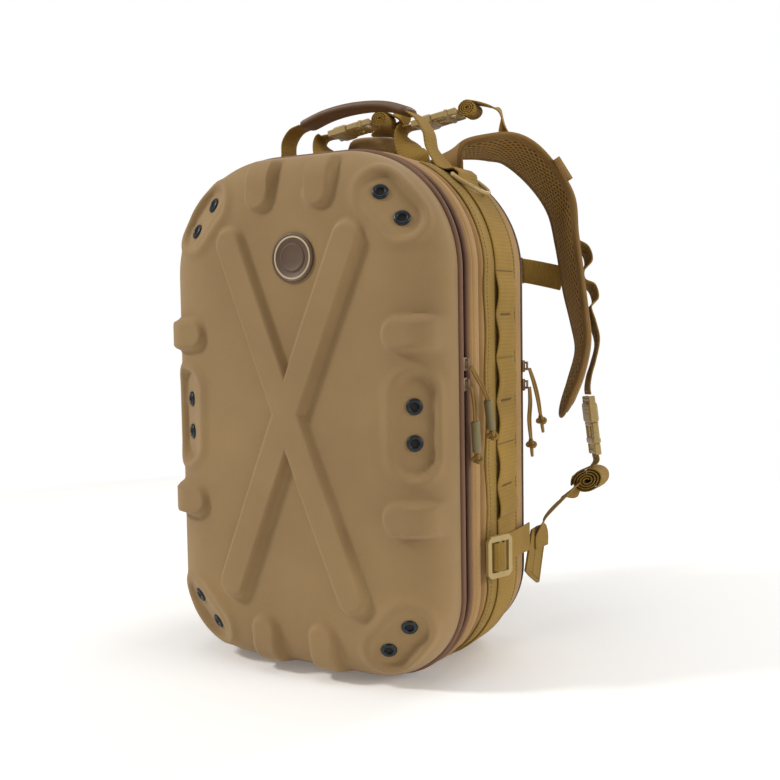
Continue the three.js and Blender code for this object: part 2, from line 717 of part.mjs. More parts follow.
// A slab in a triglide's frame: corners as [across, up] pairs, between two distances out.
function triglideSlab(side, corners, from, to) {
  const { across, up, out, corner } = triglideFrame(side);
  return loft([from, to].map((d) => corners.map(([a, b]) => corner.clone()
    .addScaledVector(across, a).addScaledVector(up, b).addScaledVector(out, d))));
}

// A triglide: a flat plate with two upright slots.
function triglide(side) {
  const w = TRIGLIDE_WIDTH;
  const h = TRIGLIDE_HEIGHT / 2;
  const r = 4;
  const frameBar = 4.5;
  const middleBar = 4;
  const slot = (w - 2 * frameBar - middleBar) / 2;
  const slotHeight = LOW_WEB_WIDTH / 2 + 1;
  const rim = [[r, -h], [w - r, -h], [w, r - h], [w, h - r], [w - r, h], [r, h], [0, h - r], [0, r - h]];
  let plate = solidOf(triglideSlab(side, rim, 0, TRIGLIDE_THICKNESS));
  for (const start of [frameBar, frameBar + slot + middleBar]) {
    const end = start + slot;
    const hole = [[start, -slotHeight], [end, -slotHeight], [end, slotHeight], [start, slotHeight]];
    plate = plate.subtract(solidOf(triglideSlab(side, hole, -1, TRIGLIDE_THICKNESS + 1)));
  }
  return geometryOf(plate);
}

// The shoulder strap's sections, from its root on the back to its low end.
// spread and sway: shares of the half width; both straps sway to +X. back: share of the reach. up and heel: shares of the height.
// turn and dip: the right strap's width direction in degrees, from +X towards -Y and down.
// leftTurn: the left strap's turn, which comes later. wide: share of the strap's width.
const STRAP_SECTIONS = [
  { spread: 0.32, sway: 0, back: 0.0, up: 0.9, heel: 0, turn: 0, leftTurn: 0, dip: 0, wide: 0.84 },
  { spread: 0.32, sway: 0, back: 0.01, up: 0.965, heel: 0, turn: 0, leftTurn: 0, dip: 0, wide: 0.84 },
  { spread: 0.34, sway: 0.03, back: 0.07, up: 1.012, heel: 0.004, turn: 22, leftTurn: 4, dip: -6, wide: 0.84 },
  { spread: 0.36, sway: 0.08, back: 0.15, up: 1.035, heel: 0.008, turn: 42, leftTurn: 8, dip: -9, wide: 0.84 },
  { spread: 0.42, sway: 0.15, back: 0.26, up: 1.045, heel: 0.02, turn: 55, leftTurn: 12, dip: -11, wide: 0.9 },
  { spread: 0.48, sway: 0.2, back: 0.42, up: 1.046, heel: 0.035, turn: 46, leftTurn: 16, dip: -14, wide: 0.97 },
  { spread: 0.54, sway: 0.23, back: 0.58, up: 1.035, heel: 0.035, turn: 40, leftTurn: 20, dip: -9, wide: 1 },
  { spread: 0.64, sway: 0.27, back: 0.81, up: 0.982, heel: 0.03, turn: 43, leftTurn: 23, dip: -6, wide: 1 },
  { spread: 0.72, sway: 0.29, back: 0.91, up: 0.923, heel: 0.02, turn: 47, leftTurn: 26, dip: -8, wide: 0.98 },
  { spread: 0.76, sway: 0.3, back: 0.89, up: 0.843, heel: 0.01, turn: 52, leftTurn: 28, dip: -10, wide: 0.94 },
  { spread: 0.82, sway: 0.3, back: 0.83, up: 0.745, heel: 0, turn: 54, leftTurn: 30, dip: -13, wide: 0.92 },
  { spread: 0.87, sway: 0.3, back: 0.77, up: 0.68, heel: 0, turn: 58, leftTurn: 32, dip: -14, wide: 0.9 },
  { spread: 0.91, sway: 0.3, back: 0.7, up: 0.615, heel: 0, turn: 61, leftTurn: 34, dip: -12, wide: 0.87 },
  { spread: 0.88, sway: 0.3, back: 0.6, up: 0.546, heel: 0, turn: 59, leftTurn: 34, dip: -9, wide: 0.77 },
  { spread: 0.85, sway: 0.29, back: 0.52, up: 0.5, heel: 0, turn: 60, leftTurn: 34, dip: -8, wide: 0.58 },
  { spread: 0.83, sway: 0.29, back: 0.48, up: 0.473, heel: 0, turn: 60, leftTurn: 34, dip: -7, wide: 0.36 },
];

// A strap station for a section of the table, on the left (-1) or the right (+1).
function strapStation(side, row) {
  const ownTurn = side < 0 ? row.leftTurn : row.turn;
  const turn = radians(ownTurn);
  const dip = radians(row.turn > 0 ? (row.dip * ownTurn) / row.turn : row.dip);
  return {
    at: V(
      (side * row.spread + row.sway) * HALF_WIDTH,
      PANEL_BACK + GAP + STRAP_THICKNESS / 2 + row.back * STRAP_REACH,
      (row.up + (side < 0 ? row.heel : 0)) * HEIGHT,
    ),
    across: V(side * Math.cos(turn) * Math.cos(dip), -Math.sin(turn) * Math.cos(dip), -Math.sin(dip)),
    width: row.wide * STRAP_WIDTH,
  };
}

function shoulderStrap(side) {
  const stations = STRAP_SECTIONS.map((row) => strapStation(side, row));
  return sweep(stations, (s) => flatSection(s.width, STRAP_THICKNESS, Math.min(5, s.width / 4)));
}

// The strap's middle, width direction, way along and outer side at a height, as a share of the whole height.
function strapAt(side, up) {
  const index = STRAP_SECTIONS.findIndex((row, i) => i > LAST_RISING_SECTION && row.up <= up);
  const upper = STRAP_SECTIONS[index - 1];
  const lower = STRAP_SECTIONS[index];
  const share = (upper.up - up) / (upper.up - lower.up);
  const from = strapStation(side, upper);
  const to = strapStation(side, lower);
  const along = to.at.clone().sub(from.at).normalize();
  const across = from.across.clone().lerp(to.across, share);
  across.addScaledVector(along, -across.dot(along)).normalize();
  const outside = V(0, 0, 0).crossVectors(across, along).multiplyScalar(side);
  return {
    at: from.at.clone().lerp(to.at, share),
    across,
    along,
    outside,
    width: THREE.MathUtils.lerp(from.width, to.width, share),
  };
}

// A bare folded tab on the outer edge of the right strap.
function labelTab() {
  const { at, across, along, width } = strapAt(1, LABEL_UP);
  const edge = at.clone().addScaledVector(across, width / 2 + 3 * GAP);
  const stations = [0, LABEL_REACH].map((d) => ({ at: edge.clone().addScaledVector(across, d), across: along }));
  return web(stations, HARNESS_WEB_WIDTH, 2 * WEB_THICKNESS);
}

// A side-release buckle, fastened: one closed block with a narrow waist and narrow ends.
const BUCKLE_SECTIONS = [
  { along: 0, wide: 0.86, thick: 0.6 },
  { along: 0.2, wide: 1, thick: 1 },
  { along: 0.45, wide: 0.84, thick: 1 },
  { along: 0.7, wide: 1, thick: 1 },
  { along: 1, wide: 0.86, thick: 0.6 },
];

function buckle(from, direction, across, length) {
  const stations = BUCKLE_SECTIONS.map((row) => ({
    at: from.clone().addScaledVector(direction, row.along * length),
    across,
    width: row.wide * BUCKLE_WIDTH,
    thickness: row.thick * BUCKLE_THICKNESS,
  }));
  return sweep(stations, (s) => flatSection(s.width, s.thickness, 3));
}

// A roll of spare webbing: a closed oval prism along its axis.
function roll(centre, axis, longWay, long, short) {
  const steps = 10;
  const shortWay = V(0, 0, 0).crossVectors(axis, longWay).normalize();
  const ring = (d) => Array.from({ length: steps }, (_, i) => {
    const angle = (2 * Math.PI * i) / steps;
    return centre.clone().addScaledVector(axis, d)
      .addScaledVector(longWay, long * Math.cos(angle))
      .addScaledVector(shortWay, short * Math.sin(angle));
  });
  return loft([ring(-HARNESS_WEB_WIDTH / 2), ring(HARNESS_WEB_WIDTH / 2)]);
}

// The load lifters: webbing up from the back, a buckle, and a rolled tail over the strap.
// Both lean the same way as the straps sway, so the right one is the left one moved along X.
function lifter(side) {
  const shift = side > 0 ? LIFTER_SHIFT : 0;
  const point = (x, y, z) => V(x * HALF_WIDTH + shift, PANEL_FRONT + y * STRAP_REACH, HEIGHT * z);
  const direction = point(0.09, 0.33, 1.121).sub(point(-0.25, 0.27, 1.1)).normalize();
  const start = point(-0.52, 0.27, 1.092);
  const across = V(0, 1, 0).addScaledVector(direction, -direction.y).normalize();
  const end = start.clone().addScaledVector(direction, BUCKLE_LENGTH);
  return { point, direction, start, end, across };
}

// The height of the back panel's lip under a foot of harness webbing.
function panelTop(x) {
  const nearest = Math.max(Math.abs(x) - HARNESS_WEB_WIDTH / 2, 0);
  const beyond = Math.max(nearest - (HALF_WIDTH - TOP_RADIUS), 0);
  return HEIGHT - TOP_RADIUS + Math.sqrt((TOP_RADIUS - PANEL_LIP) ** 2 - beyond ** 2);
}

function lifterStrap(side) {
  const { point, direction, start, across } = lifter(side);
  const foot = point(-0.44, 0, 1).setY(REAR_ZIPPER_BACK + GAP + PANEL_LIP_DEPTH / 2);
  foot.setZ(panelTop(foot.x) + GAP);
  const stations = [
    { at: foot, across: V(1, 0, 0) },
    { at: foot.clone().add(V(0, 0, 9)), across: V(1, 0, 0) },
    { at: point(-0.5, 0.1, 1.03), across: V(1, 0.3, 0) },
    { at: start.clone().addScaledVector(direction, -12), across },
    { at: start.clone().addScaledVector(direction, -GAP), across },
  ];
  return web(stations, HARNESS_WEB_WIDTH);
}

function lifterBuckle(side) {
  const { direction, start, across } = lifter(side);
  return buckle(start, direction, across, BUCKLE_LENGTH);
}

// The rolled tail at the buckle's far end, with its webbing down to the strap's outer side.
function lifterRoll(side) {
  const { direction, end, across } = lifter(side);
  const centre = end.clone().addScaledVector(direction, ROLL_RADIUS + GAP);
  const tail = roll(centre, across, direction, ROLL_RADIUS, ROLL_RADIUS * 0.8);
  const before = strapStation(side, STRAP_SECTIONS[LIFTER_SECTION - 1]);
  const here = strapStation(side, STRAP_SECTIONS[LIFTER_SECTION]);
  const after = strapStation(side, STRAP_SECTIONS[LIFTER_SECTION + 1]);
  const along = after.at.clone().sub(before.at).normalize();
  const outside = V(0, 0, 0).crossVectors(here.across, along).normalize().multiplyScalar(side);
  const sewn = here.at.clone().addScaledVector(outside, STRAP_THICKNESS / 2 + WEB_THICKNESS + TWIST_CLEARANCE);
  const strapAcross = here.across.clone().negate();
  const stations = [
    { at: centre.clone().addScaledVector(direction, ROLL_RADIUS / 2), across },
    { at: centre.clone().addScaledVector(direction, 1.6 * ROLL_RADIUS).addScaledVector(along, 1.9 * ROLL_RADIUS), across },
    { at: sewn.clone().addScaledVector(along, 10), across: strapAcross },
    { at: sewn.clone().addScaledVector(along, 20), across: strapAcross },
  ];
  return geometryOf(solidOf(tail).add(solidOf(web(stations, HARNESS_WEB_WIDTH))));
}

// The webbing on each strap's outer side: height as a share of the whole, and how far it stands off the strap.
const STRAP_WEB_POINTS = [
  { up: 0.835, off: 0 },
  { up: 0.82, off: 9 },
  { up: 0.79, off: 11 },
  { up: 0.768, off: 1 },
  { up: 0.75, off: 1 },
  { up: 0.735, off: 10 },
  { up: 0.705, off: 11 },
  { up: 0.69, off: 3 },
  { up: 0.66, off: 5 },
  { up: 0.62, off: 7 },
  { up: 0.585, off: 6 },
  { up: 0.556, off: 5 },
  { up: 0.533, off: 7 },
];

function lowDirection(side) {
  return V(side * 0.13, -0.02, -1).normalize();
}

function strapWebStations(side) {
  const stations = STRAP_WEB_POINTS.map(({ up, off }) => {
    const { at, across, outside } = strapAt(side, up);
    const distance = STRAP_THICKNESS / 2 + GAP + WEB_THICKNESS / 2 + off;
    return { at: at.clone().addScaledVector(outside, distance), across };
  });
  const last = stations[stations.length - 1];
  return [...stations, { at: last.at.clone().addScaledVector(lowDirection(side), 6), across: last.across }];
}

// The low buckle hangs from the end of the strap's webbing.
function lowBuckle(side) {
  const stations = strapWebStations(side);
  const { at, across } = stations[stations.length - 1];
  const direction = lowDirection(side);
  return { from: at.clone().addScaledVector(direction, GAP), direction, across };
}

// The low strap: from the low buckle past its rolled tail down to the tab on the body.
function lowStrap(side) {
  const { from, direction, across } = lowBuckle(side);
  const end = from.clone().addScaledVector(direction, LOW_BUCKLE_LENGTH + GAP);
  const tab = lowTabTop(side);
  const across2 = V(0, -1, 0.2);
  const stations = [
    { at: end, across },
    { at: end.clone().addScaledVector(direction, 5), across },
    { at: end.clone().add(V(-side * 9, -4, -15)), across: across2 },
    { at: end.clone().lerp(tab, 0.45).add(V(-side * 2, 4, 0)), across: across2 },
    { at: tab.clone().add(V(side * 2, 2, 14)), across: across2 },
    { at: tab, across: lowWing(side)[0].at.clone().sub(lowWing(side)[1].at).setZ(0) },
    { at: tab.clone().add(V(0, 0, -12)), across: lowWing(side)[0].at.clone().sub(lowWing(side)[1].at).setZ(0) },
  ];
  const strap = solidOf(web(stations, HARNESS_WEB_WIDTH));
  const centre = end.clone().add(V(-side * 4, -3, -23));
  const tail = roll(centre, V(0, 1, 0), V(side * 0.9, 0, 0.42).normalize(), 2 * ROLL_RADIUS, 1.4 * ROLL_RADIUS);
  return geometryOf(strap.add(solidOf(tail)));
}

// The low webbing: through the triglide, back along the side, round the back edge and out as a wing.
function lowWebbing(side) {
  const { across, out, corner } = triglideFrame(side);
  const point = (a, d) => corner.clone().addScaledVector(across, a).addScaledVector(out, d);
  const over = TRIGLIDE_THICKNESS + GAP + WEB_THICKNESS / 2;
  const outside = HALF_WIDTH + 3 * (GAP + WEB_THICKNESS) - WEB_THICKNESS / 2;
  const onSide = (y) => V(side * outside, y, TRIGLIDE_Z);
  const stations = [
    { at: point(7.5, -1.4), width: LOW_WEB_WIDTH },
    { at: point(11.3, over), width: LOW_WEB_WIDTH },
    { at: point(18.8, over), width: LOW_WEB_WIDTH },
    { at: point(22.6, -2.2), width: LOW_WEB_WIDTH },
    { at: onSide(16), width: LOW_WEB_WIDTH },
    { at: onSide(BODY_BACK + 2), width: LOW_WEB_WIDTH },
    ...lowWing(side),
  ];
  return web(stations.map((s) => ({ ...s, across: V(0, 0, 1) })), LOW_WEB_WIDTH);
}

function lowWing(side) {
  const outside = HALF_WIDTH + 3 * (GAP + WEB_THICKNESS) - WEB_THICKNESS / 2;
  return [
    { at: V(side * (outside + 1), BODY_BACK + 9, TRIGLIDE_Z - 16), width: 2 * LOW_WEB_WIDTH },
    { at: V(side * (outside + 3), BODY_BACK + 28, TRIGLIDE_Z - 22), width: 2.3 * LOW_WEB_WIDTH },
  ];
}

// Where the low strap's end meets the wing's outer face.
function lowTabTop(side) {
  const wing = lowWing(side)[1].at;
  return V(wing.x + side * (WEB_THICKNESS + 2 * GAP), wing.y - 6, TRIGLIDE_Z - 2);
}

// The chest strap hangs between the back edges of the two straps. rise: how much its middle stands above its ends.
const CHEST_UP = 0.775;
const CHEST_RISE = 14;

function chestStrap() {
  const steps = 6;
  const [left, right] = [-1, 1].map((side) => {
    const { at, across, along, width } = strapAt(side, CHEST_UP);
    return { at: at.clone().addScaledVector(across, -width / 2 - GAP - 2 * WEB_THICKNESS), upward: along.clone().negate() };
  });
  const stations = Array.from({ length: steps + 1 }, (_, i) => {
    const share = i / steps;
    const at = left.at.clone().lerp(right.at, share).add(V(0, 0, CHEST_RISE * Math.sin(Math.PI * share)));
    return { at, across: left.upward.clone().lerp(right.upward, share) };
  });
  return web(stations, HARNESS_WEB_WIDTH);
}

// The zipper pulls on the right-hand side: which zipper, the slider's height as a share, and the cord's route.
// The route's points are [out, y, z], from the slider's eye down, with out and z measured from the slider.
const PULLS = [
  { name: 'front_upper', rear: false, up: 0.597, route: [[6.9, 0.5, -2], [9, 8, -12], [11, 16, -22], [12, 22, -31]], sleeve: [6, -23] },
  { name: 'front_lower', rear: false, up: 0.56, route: [[6.9, 0.5, -2], [8.5, 2, -11], [9.5, 2, -20], [10, 1, -30]], sleeve: [2.5, -26] },
  { name: 'rear_upper', rear: true, up: 0.578, route: [[6.9, 0.5, -2], [8.5, 8, -16], [10, 14, -32], [11, 17, -46]], sleeve: null },
  { name: 'rear_lower', rear: true, up: 0.54, route: [[6.9, 0.5, -2], [6.5, 3, -17], [5.5, 3, -33], [6, 5, -50]], sleeve: null },
];

// The middle of a pull's slider, on its zipper at the pack's right-hand side.
function sliderPlace({ rear, up }) {
  const y = rear ? (PANEL_FRONT + REAR_ZIPPER_BACK) / 2 : (ZIPPER_FRONT + ZIPPER_BACK) / 2;
  const surface = HALF_WIDTH - (rear ? 1.5 : 3.4);
  return V(surface + GAP, y, up * HEIGHT);
}

function slider(pull) {
  const width = (pull.rear ? REAR_ZIPPER_WIDTH : ZIPPER_WIDTH) - 2 * GAP;
  const place = sliderPlace(pull);
  const section = (half, z) => [[0, -half], [SLIDER_HEIGHT, -half], [SLIDER_HEIGHT, half], [0, half]]
    .map(([x, y]) => place.clone().add(V(x, y, z)));
  const half = width / 2;
  return loft([
    section(half * 0.6, -SLIDER_LENGTH / 2),
    section(half, -SLIDER_LENGTH / 6),
    section(half, SLIDER_LENGTH / 3),
    section(half * 0.7, SLIDER_LENGTH / 2),
  ]);
}

// A pull's cord: a tube along its route, from just clear of the slider.
function pullCord(pull) {
  const place = sliderPlace(pull);
  const points = pull.route.map(([out, y, z]) => place.clone().add(V(out, y, z)));
  const curve = new THREE.CatmullRomCurve3(points);
  const steps = Math.ceil(curve.getLength() / (2.5 * CORD_DIAMETER));
  const stations = curve.getPoints(steps).map((at) => ({ at, across: V(0, 1, 0) }));
  return sweep(stations, () => roundSection(CORD_DIAMETER / 2, 8));
}

// What hangs at a cord's end: a sleeve with its knot in front, a bare knot behind.
function pullEnd(pull) {
  const place = sliderPlace(pull);
  const last = pull.route[pull.route.length - 1];
  const end = place.clone().add(V(...last));
  const before = place.clone().add(V(...pull.route[pull.route.length - 2]));
  const along = end.clone().sub(before).normalize();
  const sides = 8;
  const shape = pull.sleeve
    ? [[0, 2.2], [1, SLEEVE_DIAMETER / 2], [27, SLEEVE_DIAMETER / 2], [29, KNOT_RADIUS], [35, KNOT_RADIUS], [38, 2]]
    : [[0, 2], [2, KNOT_RADIUS], [9, KNOT_RADIUS], [12, 2], [19, 1.6]];
  const down = pull.sleeve ? V(0, pull.sleeve[0], pull.sleeve[1]).normalize() : along;
  const stations = shape.map(([d, radius]) => ({
    at: end.clone().addScaledVector(down, 2 * GAP + d),
    across: V(0, 1, 0),
    radius,
  }));
  return sweep(stations, (s) => roundSection(s.radius, sides));
}

addPiece('front_shell', frontShell(), 'shell');
addPiece('badge', badge(), 'patch');
addGrommets();
addPiece('inner_piping', piping(INNER_PIPING_FRONT), 'piping');
addPiece('front_zipper', frontZipper(), 'zipper');
addPiece('outer_piping', piping(OUTER_PIPING_FRONT), 'piping');
addPiece('body', body(), 'fabric');
addPiece('rear_zipper', rearZipper(), 'zipper');
addPiece('back_panel', backPanel(), 'mesh');
addPiece('handle_grip', handleGrip(), 'grip');
addPiece('label_tab', labelTab(), 'fabric');
addPiece('chest_strap', chestStrap(), 'webbing');
for (const [side, label] of [[-1, 'left'], [1, 'right']]) {
  const { from, direction, across } = lowBuckle(side);
  addPiece(`side_band_${label}`, sideBand(side), 'fabric');
  addPiece(`side_webbing_${label}`, sideWebbing(side), 'webbing');
  addPiece(`d_ring_${label}`, dRing(side), 'plastic');
  addPiece(`triglide_${label}`, triglide(side), 'plastic');
  addPiece(`shoulder_strap_${label}`, shoulderStrap(side), 'webbing');
  addPiece(`lifter_strap_${label}`, lifterStrap(side), 'webbing');
  addPiece(`lifter_buckle_${label}`, lifterBuckle(side), 'plastic');
  addPiece(`lifter_roll_${label}`, lifterRoll(side), 'webbing');
  addPiece(`strap_web_${label}`, web(strapWebStations(side), HARNESS_WEB_WIDTH), 'webbing');
  addPiece(`low_buckle_${label}`, buckle(from, direction, across, LOW_BUCKLE_LENGTH), 'plastic');
  addPiece(`low_strap_${label}`, lowStrap(side), 'webbing');
  addPiece(`low_webbing_${label}`, lowWebbing(side), 'webbing');
}
for (const pull of PULLS) {
  addPiece(`slider_${pull.name}`, slider(pull), 'slider');
  addPiece(`pull_cord_${pull.name}`, pullCord(pull), 'cord');
  addPiece(`pull_end_${pull.name}`, pullEnd(pull), pull.sleeve ? 'sleeve' : 'cord');
}

export default pack;
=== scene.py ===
# Hard shell backpack: materials, detailed pieces, light and camera.
# Lengths in the tables are millimetres in the object's own frame; make() turns them into metres.
import math

import bpy
import numpy as np
from mathutils import Matrix, Vector


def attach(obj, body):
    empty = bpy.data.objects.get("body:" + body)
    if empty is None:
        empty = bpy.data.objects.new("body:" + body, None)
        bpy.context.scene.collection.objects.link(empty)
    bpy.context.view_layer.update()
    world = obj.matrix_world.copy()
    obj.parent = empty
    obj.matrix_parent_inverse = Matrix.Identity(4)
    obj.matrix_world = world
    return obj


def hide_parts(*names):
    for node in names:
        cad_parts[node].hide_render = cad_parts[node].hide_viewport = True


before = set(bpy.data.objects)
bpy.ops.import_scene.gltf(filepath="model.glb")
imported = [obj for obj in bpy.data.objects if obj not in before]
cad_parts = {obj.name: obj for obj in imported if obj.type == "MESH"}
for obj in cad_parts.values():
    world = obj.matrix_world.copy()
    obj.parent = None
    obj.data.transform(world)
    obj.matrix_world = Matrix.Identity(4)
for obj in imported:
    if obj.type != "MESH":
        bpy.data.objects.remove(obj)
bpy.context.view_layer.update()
MM = 0.001

# The outline and the depths
HALF_WIDTH, HEIGHT = 144.0, 458.0
TOP_RADIUS, BOTTOM_RADIUS = 106.0, 78.0
BODY_FRONT, BODY_BACK = -45.0, 67.0
PIPING, ZIPPER, REAR_ZIPPER, GAP = 5.2, 6.8, 4.4, 0.3
OUTER_PIPING_FRONT = BODY_FRONT - GAP - PIPING
ZIPPER_FRONT = OUTER_PIPING_FRONT - GAP - ZIPPER
INNER_PIPING_FRONT = ZIPPER_FRONT - GAP - PIPING
SHELL_BACK = INNER_PIPING_FRONT - GAP
PANEL_FRONT = BODY_BACK + GAP
PANEL_BACK = PANEL_FRONT + 17.0
REAR_ZIPPER_BACK = PANEL_FRONT + REAR_ZIPPER

# The shell's face
SHELL_INSET, SKIRT, ROUNDING, ROUNDING_POWER = 3.0, 5.0, 50.0, 2.2
RISE_TOP, RISE_BOTTOM, CROWN = 36.0, 43.0, 4.0
CROSS_WIDTH, CROSS_RAISE, CROSS_EDGE = 30.0, 7.5, (-2.0, 4.5)
RIB_WIDTH, RIB_LENGTH, RIB_RAISE, RIB_ROUNDING, RIB_EDGE = 28.0, 52.0, 5.5, 27.0, (-2.0, 3.5)
RECESS_WIDTH, RECESS_DEPTH, RECESS_TILT, RECESS_INSET = 32.0, 5.0, 35.0, 25.0
RECESS_EDGE, RECESS_SLOPE, LIP_RAISE, LIP_AWAY, LIP_SPREAD = (-1.0, 2.5), 0.3, 2.4, 6.0, 4.0
RIM_FADE = 6
GROMMET_SPACING = 30.0

# Webbing and the harness
WEB = 1.5
BAND_FRONT, BAND_WIDTH = -19.0, 66.0
SIDE_WEB, LOOP_PITCH = 38.0, 38.1
HARNESS_WEB = 25.0
STRAP_WIDTH, STRAP_THICKNESS, STRAP_REACH = 62.0, 12.0, 86.0
TRIGLIDE_Z = 104.0
BUCKLE_LENGTH, LOW_BUCKLE_LENGTH = 50.0, 60.0
SIDE_WEB_Y, RING_WIRE, RING_ROOM = 19.0, 1.8, 0.7
LOW_WEB_OUT = HALF_WIDTH + 3 * (GAP + WEB) - WEB / 2

# How finely the round skins are stepped
SHELL_PITCH, HOOP_PITCH, BODY_PITCH, STITCH_PITCH, INSIDE_PITCH = 2.4, 4.2, 3.8, 3.5, 14
ROUNDING_RINGS, FACE_RINGS, BACK_RINGS = 46, 70, 60


# Arrays and meshes

def vec(*values):
    return np.array(values, float)


def unit(v):
    return v / max(np.linalg.norm(v), 1e-9)


def distance_along(points):
    """The distance of each point from the line's start, measured along it."""
    return np.concatenate([[0], np.cumsum(np.linalg.norm(np.diff(points, axis=0), axis=1))])


def circle(steps):
    return 2 * math.pi * np.arange(steps) / steps


def make(name, verts, faces, material, body="root", replaces=(), slot=None, uvs=None, sharp=50, index=None):
    """A mesh object from points in mm, riding on a body."""
    mesh = bpy.data.meshes.new(name)
    points = [tuple(v) for v in np.asarray(verts) * MM]
    mesh.from_pydata(points, [], [tuple(int(i) for i in f) for f in faces])
    materials = material if isinstance(material, (list, tuple)) else [material]
    for m in materials:
        mesh.materials.append(m)
    if index is not None:
        mesh.polygons.foreach_set("material_index", np.asarray(index, dtype=np.int32))
    if uvs is not None:
        layer = mesh.uv_layers.new(name="UVMap")
        loops = np.empty(len(mesh.loops), dtype=np.int32)
        mesh.loops.foreach_get("vertex_index", loops)
        layer.data.foreach_set("uv", np.asarray(uvs, float)[loops].ravel())
    mesh.polygons.foreach_set("use_smooth", np.ones(len(mesh.polygons), dtype=bool))
    mesh.update()
    mesh.validate()
    mesh.set_sharp_from_angle(angle=math.radians(sharp))
    obj = bpy.data.objects.new(name, mesh)
    bpy.context.scene.collection.objects.link(obj)
    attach(obj, body)
    if replaces:
        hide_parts(*replaces)
    return obj


def turned_out(verts, faces):
    """The faces, turned so that they enclose a positive volume."""
    total = 0.0
    for f in faces:
        a = verts[f[0]]
        for i in range(1, len(f) - 1):
            total += float(np.dot(a, np.cross(verts[f[i]], verts[f[i + 1]])))
    return faces if total > 0 else [tuple(reversed(f)) for f in faces]


def grid_faces(rows, count, looped):
    faces = []
    spans = rows if looped else rows - 1
    for r in range(spans):
        here, there = r * count, ((r + 1) % rows) * count
        for i in range(count):
            j = (i + 1) % count
            faces.append((here + i, here + j, there + j, there + i))
    return faces


def loft(name, rings, material, looped=False, caps=True, uvs=None, face_slot=None, **rest):
    """Rings of points joined into one skin; face_slot gives each column of faces its material."""
    rings = np.asarray(rings)
    rows, count = rings.shape[:2]
    verts = rings.reshape(-1, 3)
    faces = grid_faces(rows, count, looped)
    index = None
    if face_slot is not None:
        spans = rows if looped else rows - 1
        index = list(face_slot) * spans
    if caps and not looped:
        faces.append(tuple(reversed(range(count))))
        faces.append(tuple(range((rows - 1) * count, rows * count)))
        if index is not None:
            index += [face_slot[0], face_slot[0]]
    faces = turned_out(verts, faces)
    flat_uvs = None if uvs is None else np.asarray(uvs).reshape(-1, 2)
    return make(name, verts, faces, material, uvs=flat_uvs, index=index, **rest)


def between(u, low, high, a, b):
    """The value at u of the line that is a at low and b at high."""
    return (high - u) / (high - low) * a + (u - low) / (high - low) * b


def spline(points, step, looped=False):
    """Centripetal Catmull-Rom through rows of numbers; the first three columns are the place."""
    p = np.asarray(points, float)
    n = len(p)
    out = []
    spans = n if looped else n - 1
    for i in range(spans):
        p1, p2 = p[i], p[(i + 1) % n]
        p0 = p[(i - 1) % n] if looped or i > 0 else 2 * p1 - p2
        p3 = p[(i + 2) % n] if looped or i < n - 2 else 2 * p2 - p1
        four = (p0, p1, p2, p3)
        t = [0.0]
        for a, b in zip(four, four[1:]):
            t.append(t[-1] + max(np.linalg.norm(b[:3] - a[:3]), 1e-6) ** 0.5)
        steps = max(int(math.ceil(np.linalg.norm(p2[:3] - p1[:3]) / step)), 1)
        for k in range(steps):
            u = t[1] + (t[2] - t[1]) * k / steps
            near = [between(u, t[j], t[j + 1], four[j], four[j + 1]) for j in range(3)]
            wide = [between(u, t[j], t[j + 2], near[j], near[j + 1]) for j in range(2)]
            out.append(between(u, t[1], t[2], *wide))
    if not looped:
        out.append(p[-1])
    return np.array(out)


def frames(points, across, looped=False):
    """Unit along, across and up at each point of a path."""
    ahead = np.roll(points, -1, 0)
    behind = np.roll(points, 1, 0)
    if not looped:
        ahead[-1], behind[0] = points[-1], points[0]
    along = ahead - behind
    along /= np.maximum(np.linalg.norm(along, axis=1, keepdims=True), 1e-9)
    side = across - along * np.sum(across * along, axis=1, keepdims=True)
    side /= np.maximum(np.linalg.norm(side, axis=1, keepdims=True), 1e-9)
    return along, side, np.cross(along, side)


def sweep(name, points, across, sections, material, looped=False, **rest):
    """Sections of (across, up) pairs carried along a path, with UVs in mm across and along it."""
    points = np.asarray(points, float)
    across = np.broadcast_to(np.asarray(across, float), points.shape)
    sections = np.asarray(sections, float)
    sections = np.broadcast_to(sections, (len(points), *sections.shape[-2:]))
    _, side, up = frames(points, across, looped)
    rings = points[:, None] + side[:, None] * sections[..., :1] + up[:, None] * sections[..., 1:]
    length = np.repeat(distance_along(points)[:, None], sections.shape[1], 1)
    return loft(name, rings, material, looped=looped, uvs=np.stack([sections[..., 0], length], -1), **rest)


def round_section(radius, sides):
    return np.stack([radius * np.cos(circle(sides)), radius * np.sin(circle(sides))], 1)


def flat_section(width, thickness):
    """A woven tape's section, with soft edges."""
    half, t = width / 2, thickness / 2
    e = min(0.6, t)
    xs = np.linspace(-half + e, half - e, 8)
    top = [(x, t) for x in xs]
    bottom = [(x, -t) for x in xs[::-1]]
    right = [(half - 0.3 * e, 0.7 * t), (half, 0), (half - 0.3 * e, -0.7 * t)]
    left = [(-x, -z) for x, z in right]
    return np.array(top + right + bottom + left)


def ribbon(name, rows, thickness, step, across, material, **rest):
    """A tape through (point, width) rows."""
    path = spline([[*point, width] for point, width in rows], step)
    sections = [flat_section(width, thickness) for width in path[:, 3]]
    return sweep(name, path[:, :3], across, sections, material, **rest)


def tape(name, stations, material, thickness=WEB, **rest):
    """A flat tape of the harness width through (point, across) stations."""
    rows = np.array([[*point, *unit(np.asarray(across, float))] for point, across in stations])
    path = spline(rows, 2.0)
    return sweep(name, path[:, :3], path[:, 3:6], flat_section(HARNESS_WEB, thickness), material, **rest)


